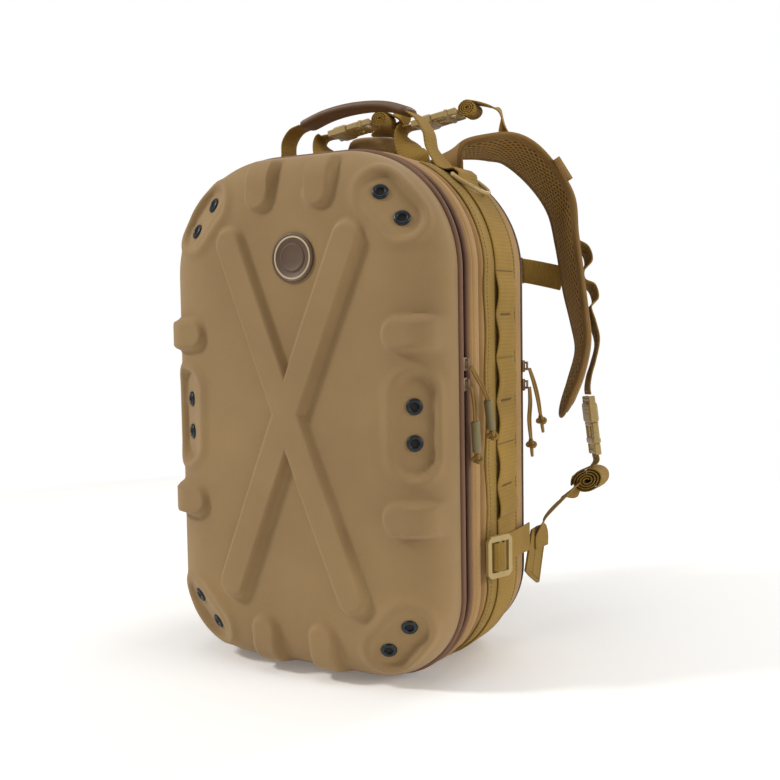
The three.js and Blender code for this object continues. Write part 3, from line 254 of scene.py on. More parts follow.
def box_mesh(centre, axes, sizes, bevel):
    """Points and faces of a box with bevelled edges; axes are three unit vectors."""
    h = np.asarray(sizes, float) / 2
    b = min(bevel, *(0.45 * h))
    ring = [(1, 1), (-1, 1), (-1, -1), (1, -1)]
    corners = []
    for sx, sy in ring:
        pair = [(h[0], h[1] - b), (h[0] - b, h[1])]
        if sx * sy < 0:
            pair.reverse()
        corners += [(sx * x, sy * y) for x, y in pair]
    outline = np.array(corners)
    rings = []
    for z, shrink in ((-h[2], b), (-h[2] + b, 0), (h[2] - b, 0), (h[2], b)):
        scale = (h[:2] - shrink) / h[:2]
        rings.append(np.column_stack([outline * scale, np.full(8, z)]))
    local = np.concatenate(rings)
    verts = np.asarray(centre) + local @ np.asarray(axes)
    faces = grid_faces(4, 8, False) + [tuple(reversed(range(8))), tuple(range(24, 32))]
    return verts, turned_out(verts, faces)


def boxes(name, parts, material, **rest):
    """Several bevelled boxes as one object: (centre, axes, sizes, bevel) each."""
    verts, faces = [], []
    for part in parts:
        v, f = box_mesh(*part)
        start = sum(len(x) for x in verts)
        verts.append(v)
        faces += [tuple(i + start for i in face) for face in f]
    return make(name, np.concatenate(verts), faces, material, sharp=30, **rest)


# Materials. The surface's relief is in metres.

FINE_RELIEF, MESH_RELIEF, COIL_RELIEF = 0.0002, 0.0008, 0.0006
THREAD_GRAIN, PLASTIC_GRAIN, PLASTIC_CLOUD = 900.0, 350.0, 60.0
MESH_PITCH, MESH_SLANT, TOOTH_PITCH, COIL_PITCH = 5.2, 0.62, 1.8, 3.4


def shader(name, color, roughness, metallic=0.0, sheen=0.0):
    material = bpy.data.materials.new(name)
    material.use_nodes = True
    bsdf = material.node_tree.nodes["Principled BSDF"]
    bsdf.inputs["Base Color"].default_value = (*color, 1)
    bsdf.inputs["Roughness"].default_value = roughness
    bsdf.inputs["Metallic"].default_value = metallic
    if sheen:
        bsdf.inputs["Sheen Weight"].default_value = sheen
        bsdf.inputs["Sheen Roughness"].default_value = 0.5
    return material


class Nodes:
    """Small helper that adds and links a material's nodes."""

    def __init__(self, material):
        self.tree = material.node_tree
        self.bsdf = self.tree.nodes["Principled BSDF"]

    def add(self, kind, **inputs):
        node = self.tree.nodes.new(kind)
        for key, value in inputs.items():
            self.put(node.inputs[key], value)
        return node

    def put(self, socket, value):
        if isinstance(value, bpy.types.NodeSocket):
            self.tree.links.new(value, socket)
        else:
            socket.default_value = value

    def looks(self, key, value):
        self.put(self.bsdf.inputs[key], value)

    def math(self, operation, a, b=0.0):
        node = self.tree.nodes.new("ShaderNodeMath")
        node.operation = operation
        self.put(node.inputs[0], a)
        self.put(node.inputs[1], b)
        return node.outputs[0]

    def times(self, a, b):
        return self.math("MULTIPLY", a, b)

    def plus(self, a, b):
        return self.math("ADD", a, b)

    def sine(self, a):
        return self.math("SINE", a)

    def solid(self):
        return self.add("ShaderNodeTexCoord").outputs["Object"]

    def surface(self):
        """The UVs' two directions, in mm."""
        split = self.add("ShaderNodeSeparateXYZ", Vector=self.add("ShaderNodeTexCoord").outputs["UV"])
        return split.outputs[0], split.outputs[1]

    def noise(self, vector, scale, detail=3.0, roughness=0.5):
        node = self.add("ShaderNodeTexNoise", Vector=vector, Scale=scale, Detail=detail, Roughness=roughness)
        return node.outputs["Fac"]

    def ramp(self, factor, *stops):
        node = self.add("ShaderNodeValToRGB", Fac=factor)
        for element, (place, color) in zip(node.color_ramp.elements, stops):
            element.position = place
            element.color = (*color, 1)
        return node.outputs["Color"]

    def tinted(self, a, b):
        node = self.tree.nodes.new("ShaderNodeMix")
        node.data_type = "RGBA"
        node.blend_type = "MULTIPLY"
        for number, value in ((0, 1.0), (6, a), (7, b)):
            self.put(node.inputs[number], value)
        return node.outputs[2]

    def bump(self, height, strength, distance):
        node = self.add("ShaderNodeBump", Height=height, Strength=strength, Distance=distance)
        self.looks("Normal", node.outputs["Normal"])


def shades(color, spread):
    """A darker and a lighter version of a colour."""
    return tuple(c * (1 - spread) for c in color), tuple(min(c * (1 + spread), 1) for c in color)


def woven(name, color, pitch, roughness=0.9, spread=0.12, strength=0.5, rib=0.0, sheen=0.04, blotch=14.0):
    """Cloth: a plain weave of a pitch in mm, with cloudy colour and, if rib is set, ribs across the tape."""
    material = shader(name, color, roughness, sheen=sheen)
    nodes = Nodes(material)
    u, v = nodes.surface()
    turns = 2 * math.pi / pitch
    along = nodes.sine(nodes.times(v, turns * (0.55 if rib else 1.0)))
    weave = nodes.times(nodes.sine(nodes.times(u, turns)), along)
    if rib:
        weave = nodes.plus(weave, nodes.times(along, rib))
    solid = nodes.solid()
    cloud = nodes.noise(solid, blotch, 4.0, 0.6)
    grain = nodes.noise(solid, THREAD_GRAIN, 2.0, 0.6)
    dark, light = shades(color, spread)
    base = nodes.ramp(cloud, (0.3, dark), (0.7, light))
    thread = nodes.plus(nodes.times(weave, 0.25), nodes.times(grain, 0.6))
    low, _ = shades((1.0, 1.0, 1.0), 0.14)
    tint = nodes.ramp(thread, (0.1, low), (0.65, (1.0, 1.0, 1.0)))
    nodes.looks("Base Color", nodes.tinted(base, tint))
    nodes.bump(nodes.plus(weave, nodes.times(grain, 1.2)), strength, FINE_RELIEF)
    return material


def moulded(name, color, roughness, strength=0.12, metallic=0.0):
    """Plastic, rubber or metal with faint mottling and a fine surface."""
    material = shader(name, color, roughness, metallic)
    nodes = Nodes(material)
    solid = nodes.solid()
    dark, light = shades(color, 0.06)
    nodes.looks("Base Color", nodes.ramp(nodes.noise(solid, PLASTIC_CLOUD), (0.3, dark), (0.7, light)))
    fine = nodes.noise(solid, PLASTIC_GRAIN)
    nodes.looks("Roughness", nodes.plus(nodes.times(fine, 0.2), roughness - 0.1))
    nodes.bump(fine, strength, FINE_RELIEF)
    return material


def honeycomb(name, color):
    """Spacer mesh: rows of small dark holes on a diagonal grid."""
    material = shader(name, color, 0.95)
    nodes = Nodes(material)
    u, v = nodes.surface()
    waves = []
    for operation in ("ADD", "SUBTRACT"):
        slanted = nodes.math(operation, u, nodes.times(v, MESH_SLANT))
        waves.append(nodes.math("ABSOLUTE", nodes.sine(nodes.times(slanted, math.pi / MESH_PITCH))))
    hole = nodes.math("POWER", nodes.times(*waves), 1.3)
    dark, light = tuple(c * 0.3 for c in color), tuple(c * 1.35 for c in color)
    nodes.looks("Base Color", nodes.ramp(hole, (0.25, light), (0.75, dark)))
    nodes.bump(nodes.math("SUBTRACT", 1.0, hole), 0.9, MESH_RELIEF)
    return material


def coil_teeth(name, color):
    """A zipper's coil: fine teeth across the seam."""
    material = shader(name, color, 0.5)
    nodes = Nodes(material)
    u, v = nodes.surface()
    teeth = nodes.sine(nodes.times(u, 2 * math.pi / TOOTH_PITCH))
    ridge = nodes.sine(nodes.times(v, 2 * math.pi / COIL_PITCH))
    dark, light = shades(color, 0.45)
    share = nodes.plus(nodes.times(teeth, 0.5), 0.5)
    nodes.looks("Base Color", nodes.ramp(share, (0.2, dark), (0.8, light)))
    nodes.bump(nodes.plus(teeth, ridge), 0.7, COIL_RELIEF)
    return material


SHELL = woven("shell_cloth", (0.33, 0.208, 0.088), pitch=1.1, spread=0.09, strength=0.25, sheen=0.1,
              blotch=9.0)
CLOTH = woven("body_cloth", (0.385, 0.222, 0.078), pitch=1.2, spread=0.10, strength=0.3, sheen=0.08)
BAND = woven("band_cloth", (0.30, 0.18, 0.03), pitch=1.4, spread=0.14, strength=0.5, rib=0.5)
WEBBING = woven("webbing", (0.31, 0.18, 0.025), pitch=1.8, spread=0.16, strength=0.6, rib=0.8)
BINDING = woven("binding", (0.20, 0.105, 0.018), pitch=1.1, spread=0.15, strength=0.5, rib=0.4)
STRAP_CLOTH = woven("strap_cloth", (0.31, 0.175, 0.052), pitch=1.3, spread=0.12, strength=0.35)
PIPING_CLOTH = woven("piping_cloth", (0.185, 0.092, 0.048), pitch=0.9, roughness=0.75, strength=0.25)
CORD = woven("cord_braid", (0.29, 0.165, 0.035), pitch=1.1, spread=0.2, strength=0.8)
MESH = honeycomb("spacer_mesh", (0.23, 0.122, 0.020))
BACK_MESH = honeycomb("back_mesh", (0.18, 0.10, 0.020))
TEETH = coil_teeth("zipper_coil", (0.085, 0.042, 0.03))
PLASTIC = moulded("buckle_plastic", (0.42, 0.30, 0.115), 0.45)
GRIP = moulded("grip_rubber", (0.135, 0.068, 0.032), 0.55, strength=0.2)
GUNMETAL = moulded("grommet_metal", (0.035, 0.042, 0.048), 0.38, metallic=0.85)
PATCH = moulded("patch_rubber", (0.105, 0.058, 0.033), 0.55)
PATCH_RIM = moulded("patch_rim", (0.52, 0.42, 0.25), 0.6)
SLEEVE = moulded("sleeve_plastic", (0.185, 0.15, 0.062), 0.5)
SLIDER = moulded("slider_metal", (0.23, 0.15, 0.09), 0.45, metallic=0.5)
# Painted shade: near-black colour for the shell's inside, the grommet bores and the body's lining, where
# shade falls.
INSIDE_SHADE = moulded("painted_inside_shade", (0.012, 0.010, 0.008), 0.9)
# Painted shade: a near-black cloth for the strip in the groove where the flap overhangs.
GROOVE_PAINTED_SHADE = woven("groove_painted_shade", (0.045, 0.03, 0.014), pitch=1.2, spread=0.2)
PALE_THREAD = woven("pale_thread", (0.45, 0.30, 0.16), pitch=0.8, spread=0.1, strength=0.4)
THREAD = woven("thread", (0.15, 0.085, 0.025), pitch=0.8, spread=0.15, strength=0.5)


# The camera, at the photograph's viewing angle
CAMERA_ANGLES = (29.694, 4.504, -0.994)
CAMERA_PLACE = (0.50697, -0.82003, 0.31962)
FOCAL_PIXELS, PICTURE_PIXELS, SENSOR = 1019.135, 780, 36


def add_camera():
    azimuth, elevation, roll = (math.radians(a) for a in CAMERA_ANGLES)
    level = math.cos(elevation)
    back = Vector((math.sin(azimuth) * level, -math.cos(azimuth) * level, math.sin(elevation)))
    right = Vector((math.cos(azimuth), math.sin(azimuth), 0))
    up = back.cross(right)
    rolled_right = math.cos(roll) * right + math.sin(roll) * up
    rolled_up = -math.sin(roll) * right + math.cos(roll) * up
    data = bpy.data.cameras.new("camera")
    data.sensor_width = SENSOR
    data.lens = SENSOR * FOCAL_PIXELS / PICTURE_PIXELS
    data.clip_start = 0.01
    camera = bpy.data.objects.new("camera", data)
    rotation = Matrix((rolled_right, rolled_up, back)).transposed().to_4x4()
    camera.matrix_world = Matrix.Translation(Vector(CAMERA_PLACE)) @ rotation
    bpy.context.scene.collection.objects.link(camera)
    bpy.context.scene.camera = camera


# The zipper pulls. Routes are [out, y, z] from the slider, as the CAD part has them.

PULLS = [
    {"name": "front_upper", "rear": False, "up": 0.597, "sleeve": [6, -23],
     "route": [[6.9, 0.5, -2], [9, 8, -12], [11, 16, -22], [12, 22, -31]]},
    {"name": "front_lower", "rear": False, "up": 0.56, "sleeve": [2.5, -26],
     "route": [[6.9, 0.5, -2], [8.5, 2, -11], [9.5, 2, -20], [10, 1, -30]]},
    {"name": "rear_upper", "rear": True, "up": 0.578, "sleeve": None,
     "route": [[6.9, 0.5, -2], [8.5, 8, -16], [10, 14, -32], [11, 17, -46]]},
    {"name": "rear_lower", "rear": True, "up": 0.54, "sleeve": None,
     "route": [[6.9, 0.5, -2], [6.5, 3, -17], [5.5, 3, -33], [6, 5, -50]]},
]
STRAND_RADIUS, STRAND_OFFSET, KNOT_RADIUS, KNOT_TURN = 1.15, 1.2, 1.6, 1.35


def slider_place(pull):
    sunk, y = 3.4, ZIPPER_FRONT + ZIPPER / 2
    if pull["rear"]:
        sunk, y = 1.5, (PANEL_FRONT + REAR_ZIPPER_BACK) / 2
    return vec(HALF_WIDTH - sunk + GAP, y, pull["up"] * HEIGHT)


def pull_route(pull):
    """The cord's line, running on into the sleeve or the knot at its end, and the way that end hangs."""
    base = slider_place(pull)
    points = [base + vec(*p) for p in pull["route"]]
    down = unit(points[-1] - points[-2])
    if pull["sleeve"]:
        down = unit(vec(0, *pull["sleeve"]))
    points.append(points[-1] + down * 5)
    return spline(points, 1.5), down


def curve_cord(name, line, radius, material):
    curve = bpy.data.curves.new(name, "CURVE")
    curve.dimensions = "3D"
    curve.bevel_depth = radius * MM
    curve.bevel_resolution = 3
    curve.use_fill_caps = True
    path = curve.splines.new("POLY")
    path.points.add(len(line) - 1)
    for point, place_ in zip(path.points, line):
        point.co = (*(place_ * MM), 1)
    curve.materials.append(material)
    obj = bpy.data.objects.new(name, curve)
    bpy.context.scene.collection.objects.link(obj)
    return obj


def lathe(name, profile, start, axis, material, steps=16, **rest):
    """A turned piece: (distance along the axis, radius) pairs."""
    axis = unit(np.asarray(axis, float))
    side = unit(np.cross(axis, vec(0.3, 1, 0.2)))
    up = np.cross(axis, side)
    ring = np.cos(circle(steps))[:, None] * side + np.sin(circle(steps))[:, None] * up
    return loft(name, [start + axis * d + ring * r for d, r in profile], material, **rest)


def knot(name, centre, axis, **rest):
    """An overhand knot: a trefoil of cord round an axis."""
    side = unit(np.cross(axis, vec(0, 1, 0.1)))
    up = np.cross(axis, side)
    angles = circle(72)
    x = KNOT_TURN * (np.sin(angles) + 2 * np.sin(2 * angles))
    y = KNOT_TURN * (np.cos(angles) - 2 * np.cos(2 * angles))
    z = -KNOT_TURN * 1.3 * np.sin(3 * angles)
    line = centre + x[:, None] * side + z[:, None] * up + y[:, None] * axis
    section = round_section(KNOT_RADIUS, 8)
    return sweep(name, line, up + 0.01 * side, section, CORD, looped=True, slot="cord", **rest)


def add_pull(pull):
    name = pull["name"]
    line, down = pull_route(pull)
    apart = vec(0.5, 1, 0) * STRAND_OFFSET * np.sin(np.linspace(0.5, 2.8, len(line)))[:, None]
    cord = curve_cord(f"cord_{name}", line - apart, STRAND_RADIUS, CORD)
    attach(cord, "root")
    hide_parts(f"pull_cord_{name}")
    end = slider_place(pull) + vec(*pull["route"][-1])
    section = round_section(STRAND_RADIUS, 8)
    others = [sweep(f"strand_{name}", line + apart, vec(0, 1, 0.01), section, CORD, slot="cord")]
    line = line - apart
    node = [f"pull_end_{name}"]
    if pull["sleeve"]:
        profile = [(0.6, 2.0), (0.9, 3.3), (1.6, 3.7), (26.5, 3.7), (27.2, 3.3), (27.5, 2.0)]
        core = [(27, 2.2), (31, 2.6), (34, 1.8)]
        others.append(lathe(f"sleeve_{name}", profile, end, down, SLEEVE, replaces=node, slot="sleeve"))
        others.append(knot(f"knot_{name}", end + down * 32.5, down))
        others.append(lathe(f"core_{name}", core, end, down, CORD, slot="cord"))
    else:
        tail = [(2, 1.9), (9, 1.7), (15, 1.6), (18.5, 1.3)]
        others.append(knot(f"knot_{name}", end + down * 6, down, replaces=node))
        others.append(lathe(f"tail_{name}", tail, end, down, CORD, slot="cord"))
    span = float(distance_along(line)[-1]) * MM


# The moulded shell

def ring_at(at, out, d, y):
    """The outline moved outward by d, at the depth y."""
    return np.column_stack([at[:, 0] + out[:, 0] * d, np.full(len(at), y), at[:, 1] + out[:, 1] * d])


def run_uvs(run, v):
    return np.column_stack([run, np.full(len(run), v)])


def outline(pitch):
    """Points (x, z) round the outline, a pitch apart, with outward directions and the distance along it."""
    corners = [
        (HALF_WIDTH - BOTTOM_RADIUS, BOTTOM_RADIUS, BOTTOM_RADIUS, -90),
        (HALF_WIDTH - TOP_RADIUS, HEIGHT - TOP_RADIUS, TOP_RADIUS, 0),
        (TOP_RADIUS - HALF_WIDTH, HEIGHT - TOP_RADIUS, TOP_RADIUS, 90),
        (BOTTOM_RADIUS - HALF_WIDTH, BOTTOM_RADIUS, BOTTOM_RADIUS, 180),
    ]
    at, out = [], []
    for k, (cx, cz, radius, start) in enumerate(corners):
        corner_steps = math.ceil(radius * math.pi / 2 / pitch)
        for i in range(corner_steps + 1):
            angle = math.radians(start + 90 * i / corner_steps)
            out.append((math.cos(angle), math.sin(angle)))
            at.append((cx + radius * out[-1][0], cz + radius * out[-1][1]))
        nx, nz, nr, ns = corners[(k + 1) % 4]
        angle = math.radians(ns)
        target = (nx + nr * math.cos(angle), nz + nr * math.sin(angle))
        last = at[-1]
        straight_steps = math.ceil(math.dist(last, target) / pitch)
        for i in range(1, straight_steps):
            share = i / straight_steps
            at.append((last[0] + (target[0] - last[0]) * share, last[1] + (target[1] - last[1]) * share))
            out.append(out[-1])
    at, out = np.array(at), np.array(out)
    return at, out, distance_along(at)


def smooth_step(value, low, high):
    share = np.clip((value - low) / (high - low), 0, 1)
    return share * share * (3 - 2 * share)


def inset_at(x, z):
    middle = HEIGHT / 2
    radius = np.where(z > middle, TOP_RADIUS, BOTTOM_RADIUS)
    dx = np.abs(x) - (HALF_WIDTH - radius)
    dz = np.abs(z - middle) - (middle - radius)
    beyond = np.hypot(np.maximum(dx, 0), np.maximum(dz, 0))
    return radius - beyond - np.minimum(np.maximum(dx, dz), 0)


def face_y(x, z, rounding=ROUNDING):
    rise = RISE_BOTTOM + (RISE_TOP - RISE_BOTTOM) * z / HEIGHT
    crown = CROWN * (1 - (x / HALF_WIDTH) ** 2) * (1 - (2 * z / HEIGHT - 1) ** 2)
    share = np.clip((inset_at(x, z) - SHELL_INSET) / rounding, 0, 1)
    rounded = (1 - (1 - share) ** ROUNDING_POWER) ** (1 / ROUNDING_POWER)
    return SHELL_BACK - SKIRT - (rise + crown - SKIRT) * rounded


def bar_distance(x, z, start, finish, half):
    """Distance outside a round-ended bar in the front view: negative inside it."""
    start, finish = vec(*start), vec(*finish)
    along = finish - start
    length = np.linalg.norm(along)
    along = along / length
    a = np.clip((x - start[0]) * along[0] + (z - start[1]) * along[1], half, length - half)
    return np.hypot(x - start[0] - along[0] * a, z - start[1] - along[1] * a) - half


CROSS = [((-66, 393), (68, 65)), ((66, 393), (-68, 65))]
SIDE_RIB_HEIGHTS, END_RIB_SPREAD, RIB_OVERRUN = (0.655, 0.325), 0.21, 20


def rib_ends():
    over = RIB_OVERRUN - SHELL_INSET
    for side in (-1, 1):
        for share in SIDE_RIB_HEIGHTS:
            z = share * HEIGHT
            yield (side * (HALF_WIDTH + over), z), (side * (HALF_WIDTH - RIB_LENGTH), z)
        x = side * END_RIB_SPREAD * HALF_WIDTH
        yield (x, HEIGHT + over), (x, HEIGHT - RIB_LENGTH)
        yield (x, -over), (x, RIB_LENGTH)


RECESS_TURNS = (42, 0, -42)
CORNER_LENGTH, SIDE_LENGTH = GROMMET_SPACING, GROMMET_SPACING + 0.6 * RECESS_WIDTH


def recess_middle(side, angle, out):
    if angle > 0:
        centre = vec(side * (HALF_WIDTH - TOP_RADIUS), 0, HEIGHT - TOP_RADIUS)
        return centre + out * (TOP_RADIUS - RECESS_INSET)
    if angle < 0:
        centre = vec(side * (HALF_WIDTH - BOTTOM_RADIUS), 0, BOTTOM_RADIUS)
        return centre + out * (BOTTOM_RADIUS - RECESS_INSET - 4)
    return vec(side * (HALF_WIDTH - RECESS_INSET), 0, HEIGHT * 0.493)


def recess_frames():
    """Each recess: middle of its floor, way along, way out of the floor, half its straight length."""
    tilt = math.radians(RECESS_TILT)
    for side in (1, -1):
        for angle in RECESS_TURNS:
            turn = math.radians(angle)
            out = vec(side * math.cos(turn), 0, math.sin(turn))
            middle = recess_middle(side, angle, out)
            normal = vec(0, -math.cos(tilt), 0) + out * math.sin(tilt)
            middle[1] = float(face_y(middle[0], middle[2]))
            length = CORNER_LENGTH if angle else SIDE_LENGTH
            yield middle - normal * RECESS_DEPTH, vec(-out[2], 0, out[0]), normal, length / 2


def press_features(points):
    """The cross, the ribs and the recesses pressed into points on the plain face."""
    x, z = points[:, 0], points[:, 2]
    base = points[:, 1].copy()
    cross = np.min([bar_distance(x, z, a, b, CROSS_WIDTH / 2) for a, b in CROSS], axis=0)
    rim = smooth_step(inset_at(x, z), SHELL_INSET, SHELL_INSET + RIM_FADE)
    points[:, 1] -= CROSS_RAISE * smooth_step(-cross, *CROSS_EDGE)
    for a, b in rib_ends():
        mask = rim * smooth_step(-bar_distance(x, z, a, b, RIB_WIDTH / 2), *RIB_EDGE)
        rib = face_y(x, z, RIB_ROUNDING) - RIB_RAISE
        points[:, 1] = np.minimum(points[:, 1], base + (rib - base) * mask)
    for floor, along, normal, reach in recess_frames():
        across = np.cross(normal, along)
        offset = points - floor
        a, b, h = offset @ along, offset @ across, offset @ normal
        outside = np.hypot(np.maximum(np.abs(a) - reach, 0), b) - RECESS_WIDTH / 2
        lip = LIP_RAISE * rim * np.exp(-((outside - LIP_AWAY) / LIP_SPREAD) ** 2)
        points += normal * lip[:, None]
        h = h + lip
        distance = outside - RECESS_SLOPE * np.maximum(h, 0)
        mask = rim * smooth_step(-distance, *RECESS_EDGE)
        points -= normal * (np.maximum(h, 0) * mask)[:, None]
    return points


def face_ring(flat):
    """Points of the front view set on the plain face."""
    return np.column_stack([flat[:, 0], face_y(flat[:, 0], flat[:, 1]), flat[:, 1]])


def shell_mesh():
    at, out, _ = outline(SHELL_PITCH)
    rings = [ring_at(at, out, -SHELL_INSET, SHELL_BACK + y) for y in (0.2, -1.2, -3.2)]
    for k in range(ROUNDING_RINGS + 1):
        inset = ROUNDING * (1 - math.cos(math.pi / 2 * k / ROUNDING_RINGS))
        rings.append(face_ring(at - out * (SHELL_INSET + inset)))
    inner = at - out * (SHELL_INSET + ROUNDING)
    centre = vec(0, HEIGHT / 2)
    for k in range(1, FACE_RINGS):
        rings.append(face_ring(centre + (inner - centre) * (1 - k / FACE_RINGS)))
    rings = press_features(np.concatenate(rings)).reshape(-1, len(at), 3)
    uvs = np.stack([rings[..., 0], rings[..., 2]], -1)
    loft("shell_skin", rings, SHELL, uvs=uvs, replaces=["front_shell"], slot="shell")


def shell_hollow():
    """The inside of the shell, seen only through the grommets, coloured near-black as painted shade."""
    at, out, _ = outline(INSIDE_PITCH)
    profile = ((7, 0), (12, 10.5), (22, 18), (40, 24))
    rings = [ring_at(at, out, -inset, SHELL_BACK - deep) for inset, deep in profile]
    loft("shell_inside", rings, INSIDE_SHADE, slot="shell")


# Grommets: eyelets over bores coloured near-black as painted shade in the holes

EYELET = [(0.1, 3.6), (0.1, 6.7), (0.8, 6.9), (1.6, 6.4), (2.1, 5.3), (2.0, 4.3), (1.2, 3.5), (-1.5, 3.3)]
BORE = [(-1.4, 3.6), (-1.2, 3.6), (0.3, 3.6)]


def add_grommets():
    places = [(floor + along * end * GROMMET_SPACING / 2, normal)
              for floor, along, normal, _ in recess_frames() for end in (1, -1)]
    for number, (centre, normal) in enumerate(places, 1):
        lathe(f"eyelet_{number:02d}", EYELET, centre, normal, GUNMETAL, steps=32, caps=False,
              replaces=[f"grommet_{number:02d}"], slot="gunmetal")
        # Each bore is a near-black tube in the eyelet's hole: painted shade.
        lathe(f"bore_{number:02d}", BORE, centre, normal, INSIDE_SHADE, steps=20, slot="gunmetal")


# The badge: a plain round patch with a pale rim and a raised centre

BADGE_X, BADGE_Z = 6, 365
PATCH_DISC = [(21, 0.2), (21.2, 1.4), (20.6, 2.0), (19.4, 2.1), (18.9, 1.6), (8, 1.6), (3, 1.6)]
PATCH_RING = [(18.6, 1.4), (18.5, 2.0), (17.7, 2.2), (17.0, 2.0), (16.9, 1.4)]
PATCH_CENTRE = [(12.5, 1.4), (12.2, 2.1), (11.0, 2.4), (10.2, 2.1), (9.6, 1.9), (4, 1.9), (0.4, 1.9)]


def add_badge():
    def disc(name, profile, material, **rest):
        rings = []
        for radius, height in profile:
            x, z = BADGE_X + radius * np.cos(circle(64)), BADGE_Z + radius * np.sin(circle(64))
            rings.append(np.column_stack([x, face_y(x, z) - height, z]))
        loft(name, rings, material, slot="patch", **rest)

    disc("patch_disc", PATCH_DISC, PATCH, replaces=["badge"])
    disc("patch_ring", PATCH_RING, PATCH_RIM)
    disc("patch_centre", PATCH_CENTRE, PATCH)


# Hoops round the outline

def hoop(name, profile, material, **rest):
    """A closed section of (out, y) pairs carried round the outline."""
    at, out, run = outline(HOOP_PITCH)
    rings = np.stack([ring_at(at, out, d, y) for d, y in profile], 1)
    uvs = np.stack([run_uvs(run, y) for _, y in profile], 1)
    loft(name, rings, material, looped=True, uvs=uvs, **rest)


FRONT_COIL = [(-2.9, 0.9), (-3.6, 1.9), (-4.0, ZIPPER / 2 - 0.2), (-6, ZIPPER / 2)]
REAR_COIL = [(-6.5, 0), (-1.9, 0.2), (-1.2, 1.3), (-0.9, 2.2), (-1.2, 3.1), (-1.9, 4.2), (-6.5, 4.4)]


def add_seam():
    r = PIPING / 2
    for tag, front in (("inner", INNER_PIPING_FRONT), ("outer", OUTER_PIPING_FRONT)):
        profile = round_section(r, 14) + vec(-r, front + r)
        hoop(f"piping_{tag}", profile, PIPING_CLOTH, replaces=[f"{tag}_piping"], slot="piping")
    middle = ZIPPER_FRONT + ZIPPER / 2
    front = [(d, middle - y) for d, y in FRONT_COIL[::-1]] + [(d, middle + y) for d, y in FRONT_COIL]
    rear = [(d, PANEL_FRONT + y) for d, y in REAR_COIL]
    for tag, profile in (("front", front), ("rear", rear)):
        hoop(f"zipper_{tag}", profile, TEETH, replaces=[f"{tag}_zipper"], slot="zipper")


# The cloth body: a tray with a flap, a stitched ridge and a groove along its front

BODY_PROFILE = [
    (-1.2, -45), (-0.3, -44.2), (0.3, -43.2), (0.1, -42.2), (-0.5, -41.6), (0.5, -40.6), (0.8, -38),
    (0.6, -34), (0.3, -30.8), (-0.6, -29.4), (-4.4, -28.6), (-4.7, -26), (-4.4, -23.2), (-0.6, -21.6),
    (0, -20), (0, -19), (0.1, -5), (0.1, 15), (0.1, 35), (0.1, 50), (0, 61), (-0.5, 64), (-1.8, 66), (-6, 67),
]
LINING_PROFILE = [(-9, 64.5), (-7, -15), (-6.9, -28), (-3.7, -45)]


def body_mesh():
    """The outer skin, the wall behind the back's pad, and a lining coloured near-black as painted shade."""
    at, out, run = outline(BODY_PITCH)
    rings, uvs = [], []
    for d, y in BODY_PROFILE + LINING_PROFILE:
        soft = 0.35 if -35 < y < 60 and d > -3 else 0.0
        wave = soft * np.sin(run / 29.0 + y / 9.0) * np.sin(run / 47.0 + 1.3)
        rings.append(ring_at(at, out, d + wave, y))
        uvs.append(run_uvs(run, y))
    count = len(BODY_PROFILE)
    last, last_uvs = rings[count - 1], uvs[count - 1]
    plate = last * vec(0.05, 1, 0.05) + vec(0, 0, HEIGHT / 2 * 0.95)
    loft("body_skin", rings[:count], CLOTH, caps=False, uvs=uvs[:count], replaces=["body"], slot="fabric")
    loft("body_back", [last, plate], CLOTH, caps=False, uvs=[last_uvs, last_uvs], slot="fabric")
    # The lining is near-black: painted shade inside the body.
    loft("body_inside", rings[count:], INSIDE_SHADE, caps=False, slot="fabric")


def stitch_row(name, line, outward, pitch=3.6, length=2.1, thick=0.55, material=THREAD):
    """Short raised stitches along a line of points, each with an outward direction."""
    run = distance_along(line)
    parts = []
    for d in np.arange(pitch, run[-1] - pitch, pitch):
        k = min(int(np.searchsorted(run, d)), len(line) - 1)
        share = (d - run[k - 1]) / max(run[k] - run[k - 1], 1e-6)
        centre = line[k - 1] + (line[k] - line[k - 1]) * share
        along = unit(line[k] - line[k - 1])
        up = unit(outward[k])
        across = unit(np.cross(up, along))
        parts.append((centre, (along, across, up), (length, thick, thick * 0.6), 0.12))
    boxes(name, parts, material, slot="fabric")


# A dark strip laid in the groove behind the flap: painted shadow under the flap's edge.
GROOVE_SHADE_STRIP = [(-4.6, -28.3), (-3.9, -28.0), (-3.9, -23.6), (-4.6, -23.3)]


def add_flap_stitches():
    # The groove strip is painted shadow, darker than the cloth around it.
    hoop("flap_groove_shade_strip", GROOVE_SHADE_STRIP, GROOVE_PAINTED_SHADE, slot="fabric")
    at, out, _ = outline(STITCH_PITCH)
    line = ring_at(at, out, 0.75, -37.2)
    outward = np.column_stack([out[:, 0], np.zeros(len(at)), out[:, 1]])
    stitch_row("flap_stitches", line, outward, 3.8, 2.2, 0.7, PALE_THREAD)


# The padded back: a raised mesh panel in a cloth rim, with two upright and two level channels

PAD_INSET, NECK = 20, REAR_ZIPPER_BACK + GAP
BACK_RIM = [
    (-7, PANEL_FRONT), (-7, NECK), (-3.2, NECK + 0.1), (-2.8, NECK + 1.5), (-3.4, NECK + 4),
    (-5.2, PANEL_BACK - 5.5), (-8, PANEL_BACK - 2.6), (-12, PANEL_BACK - 1), (-17, PANEL_BACK - 0.6),
    (-PAD_INSET, PANEL_BACK - 1.4),
]
CHANNEL_X, CHANNEL_Z, CHANNEL_RISE, CHANNEL_REACH, CHANNEL_HALF = 38, 215, 85, 112, 5.0


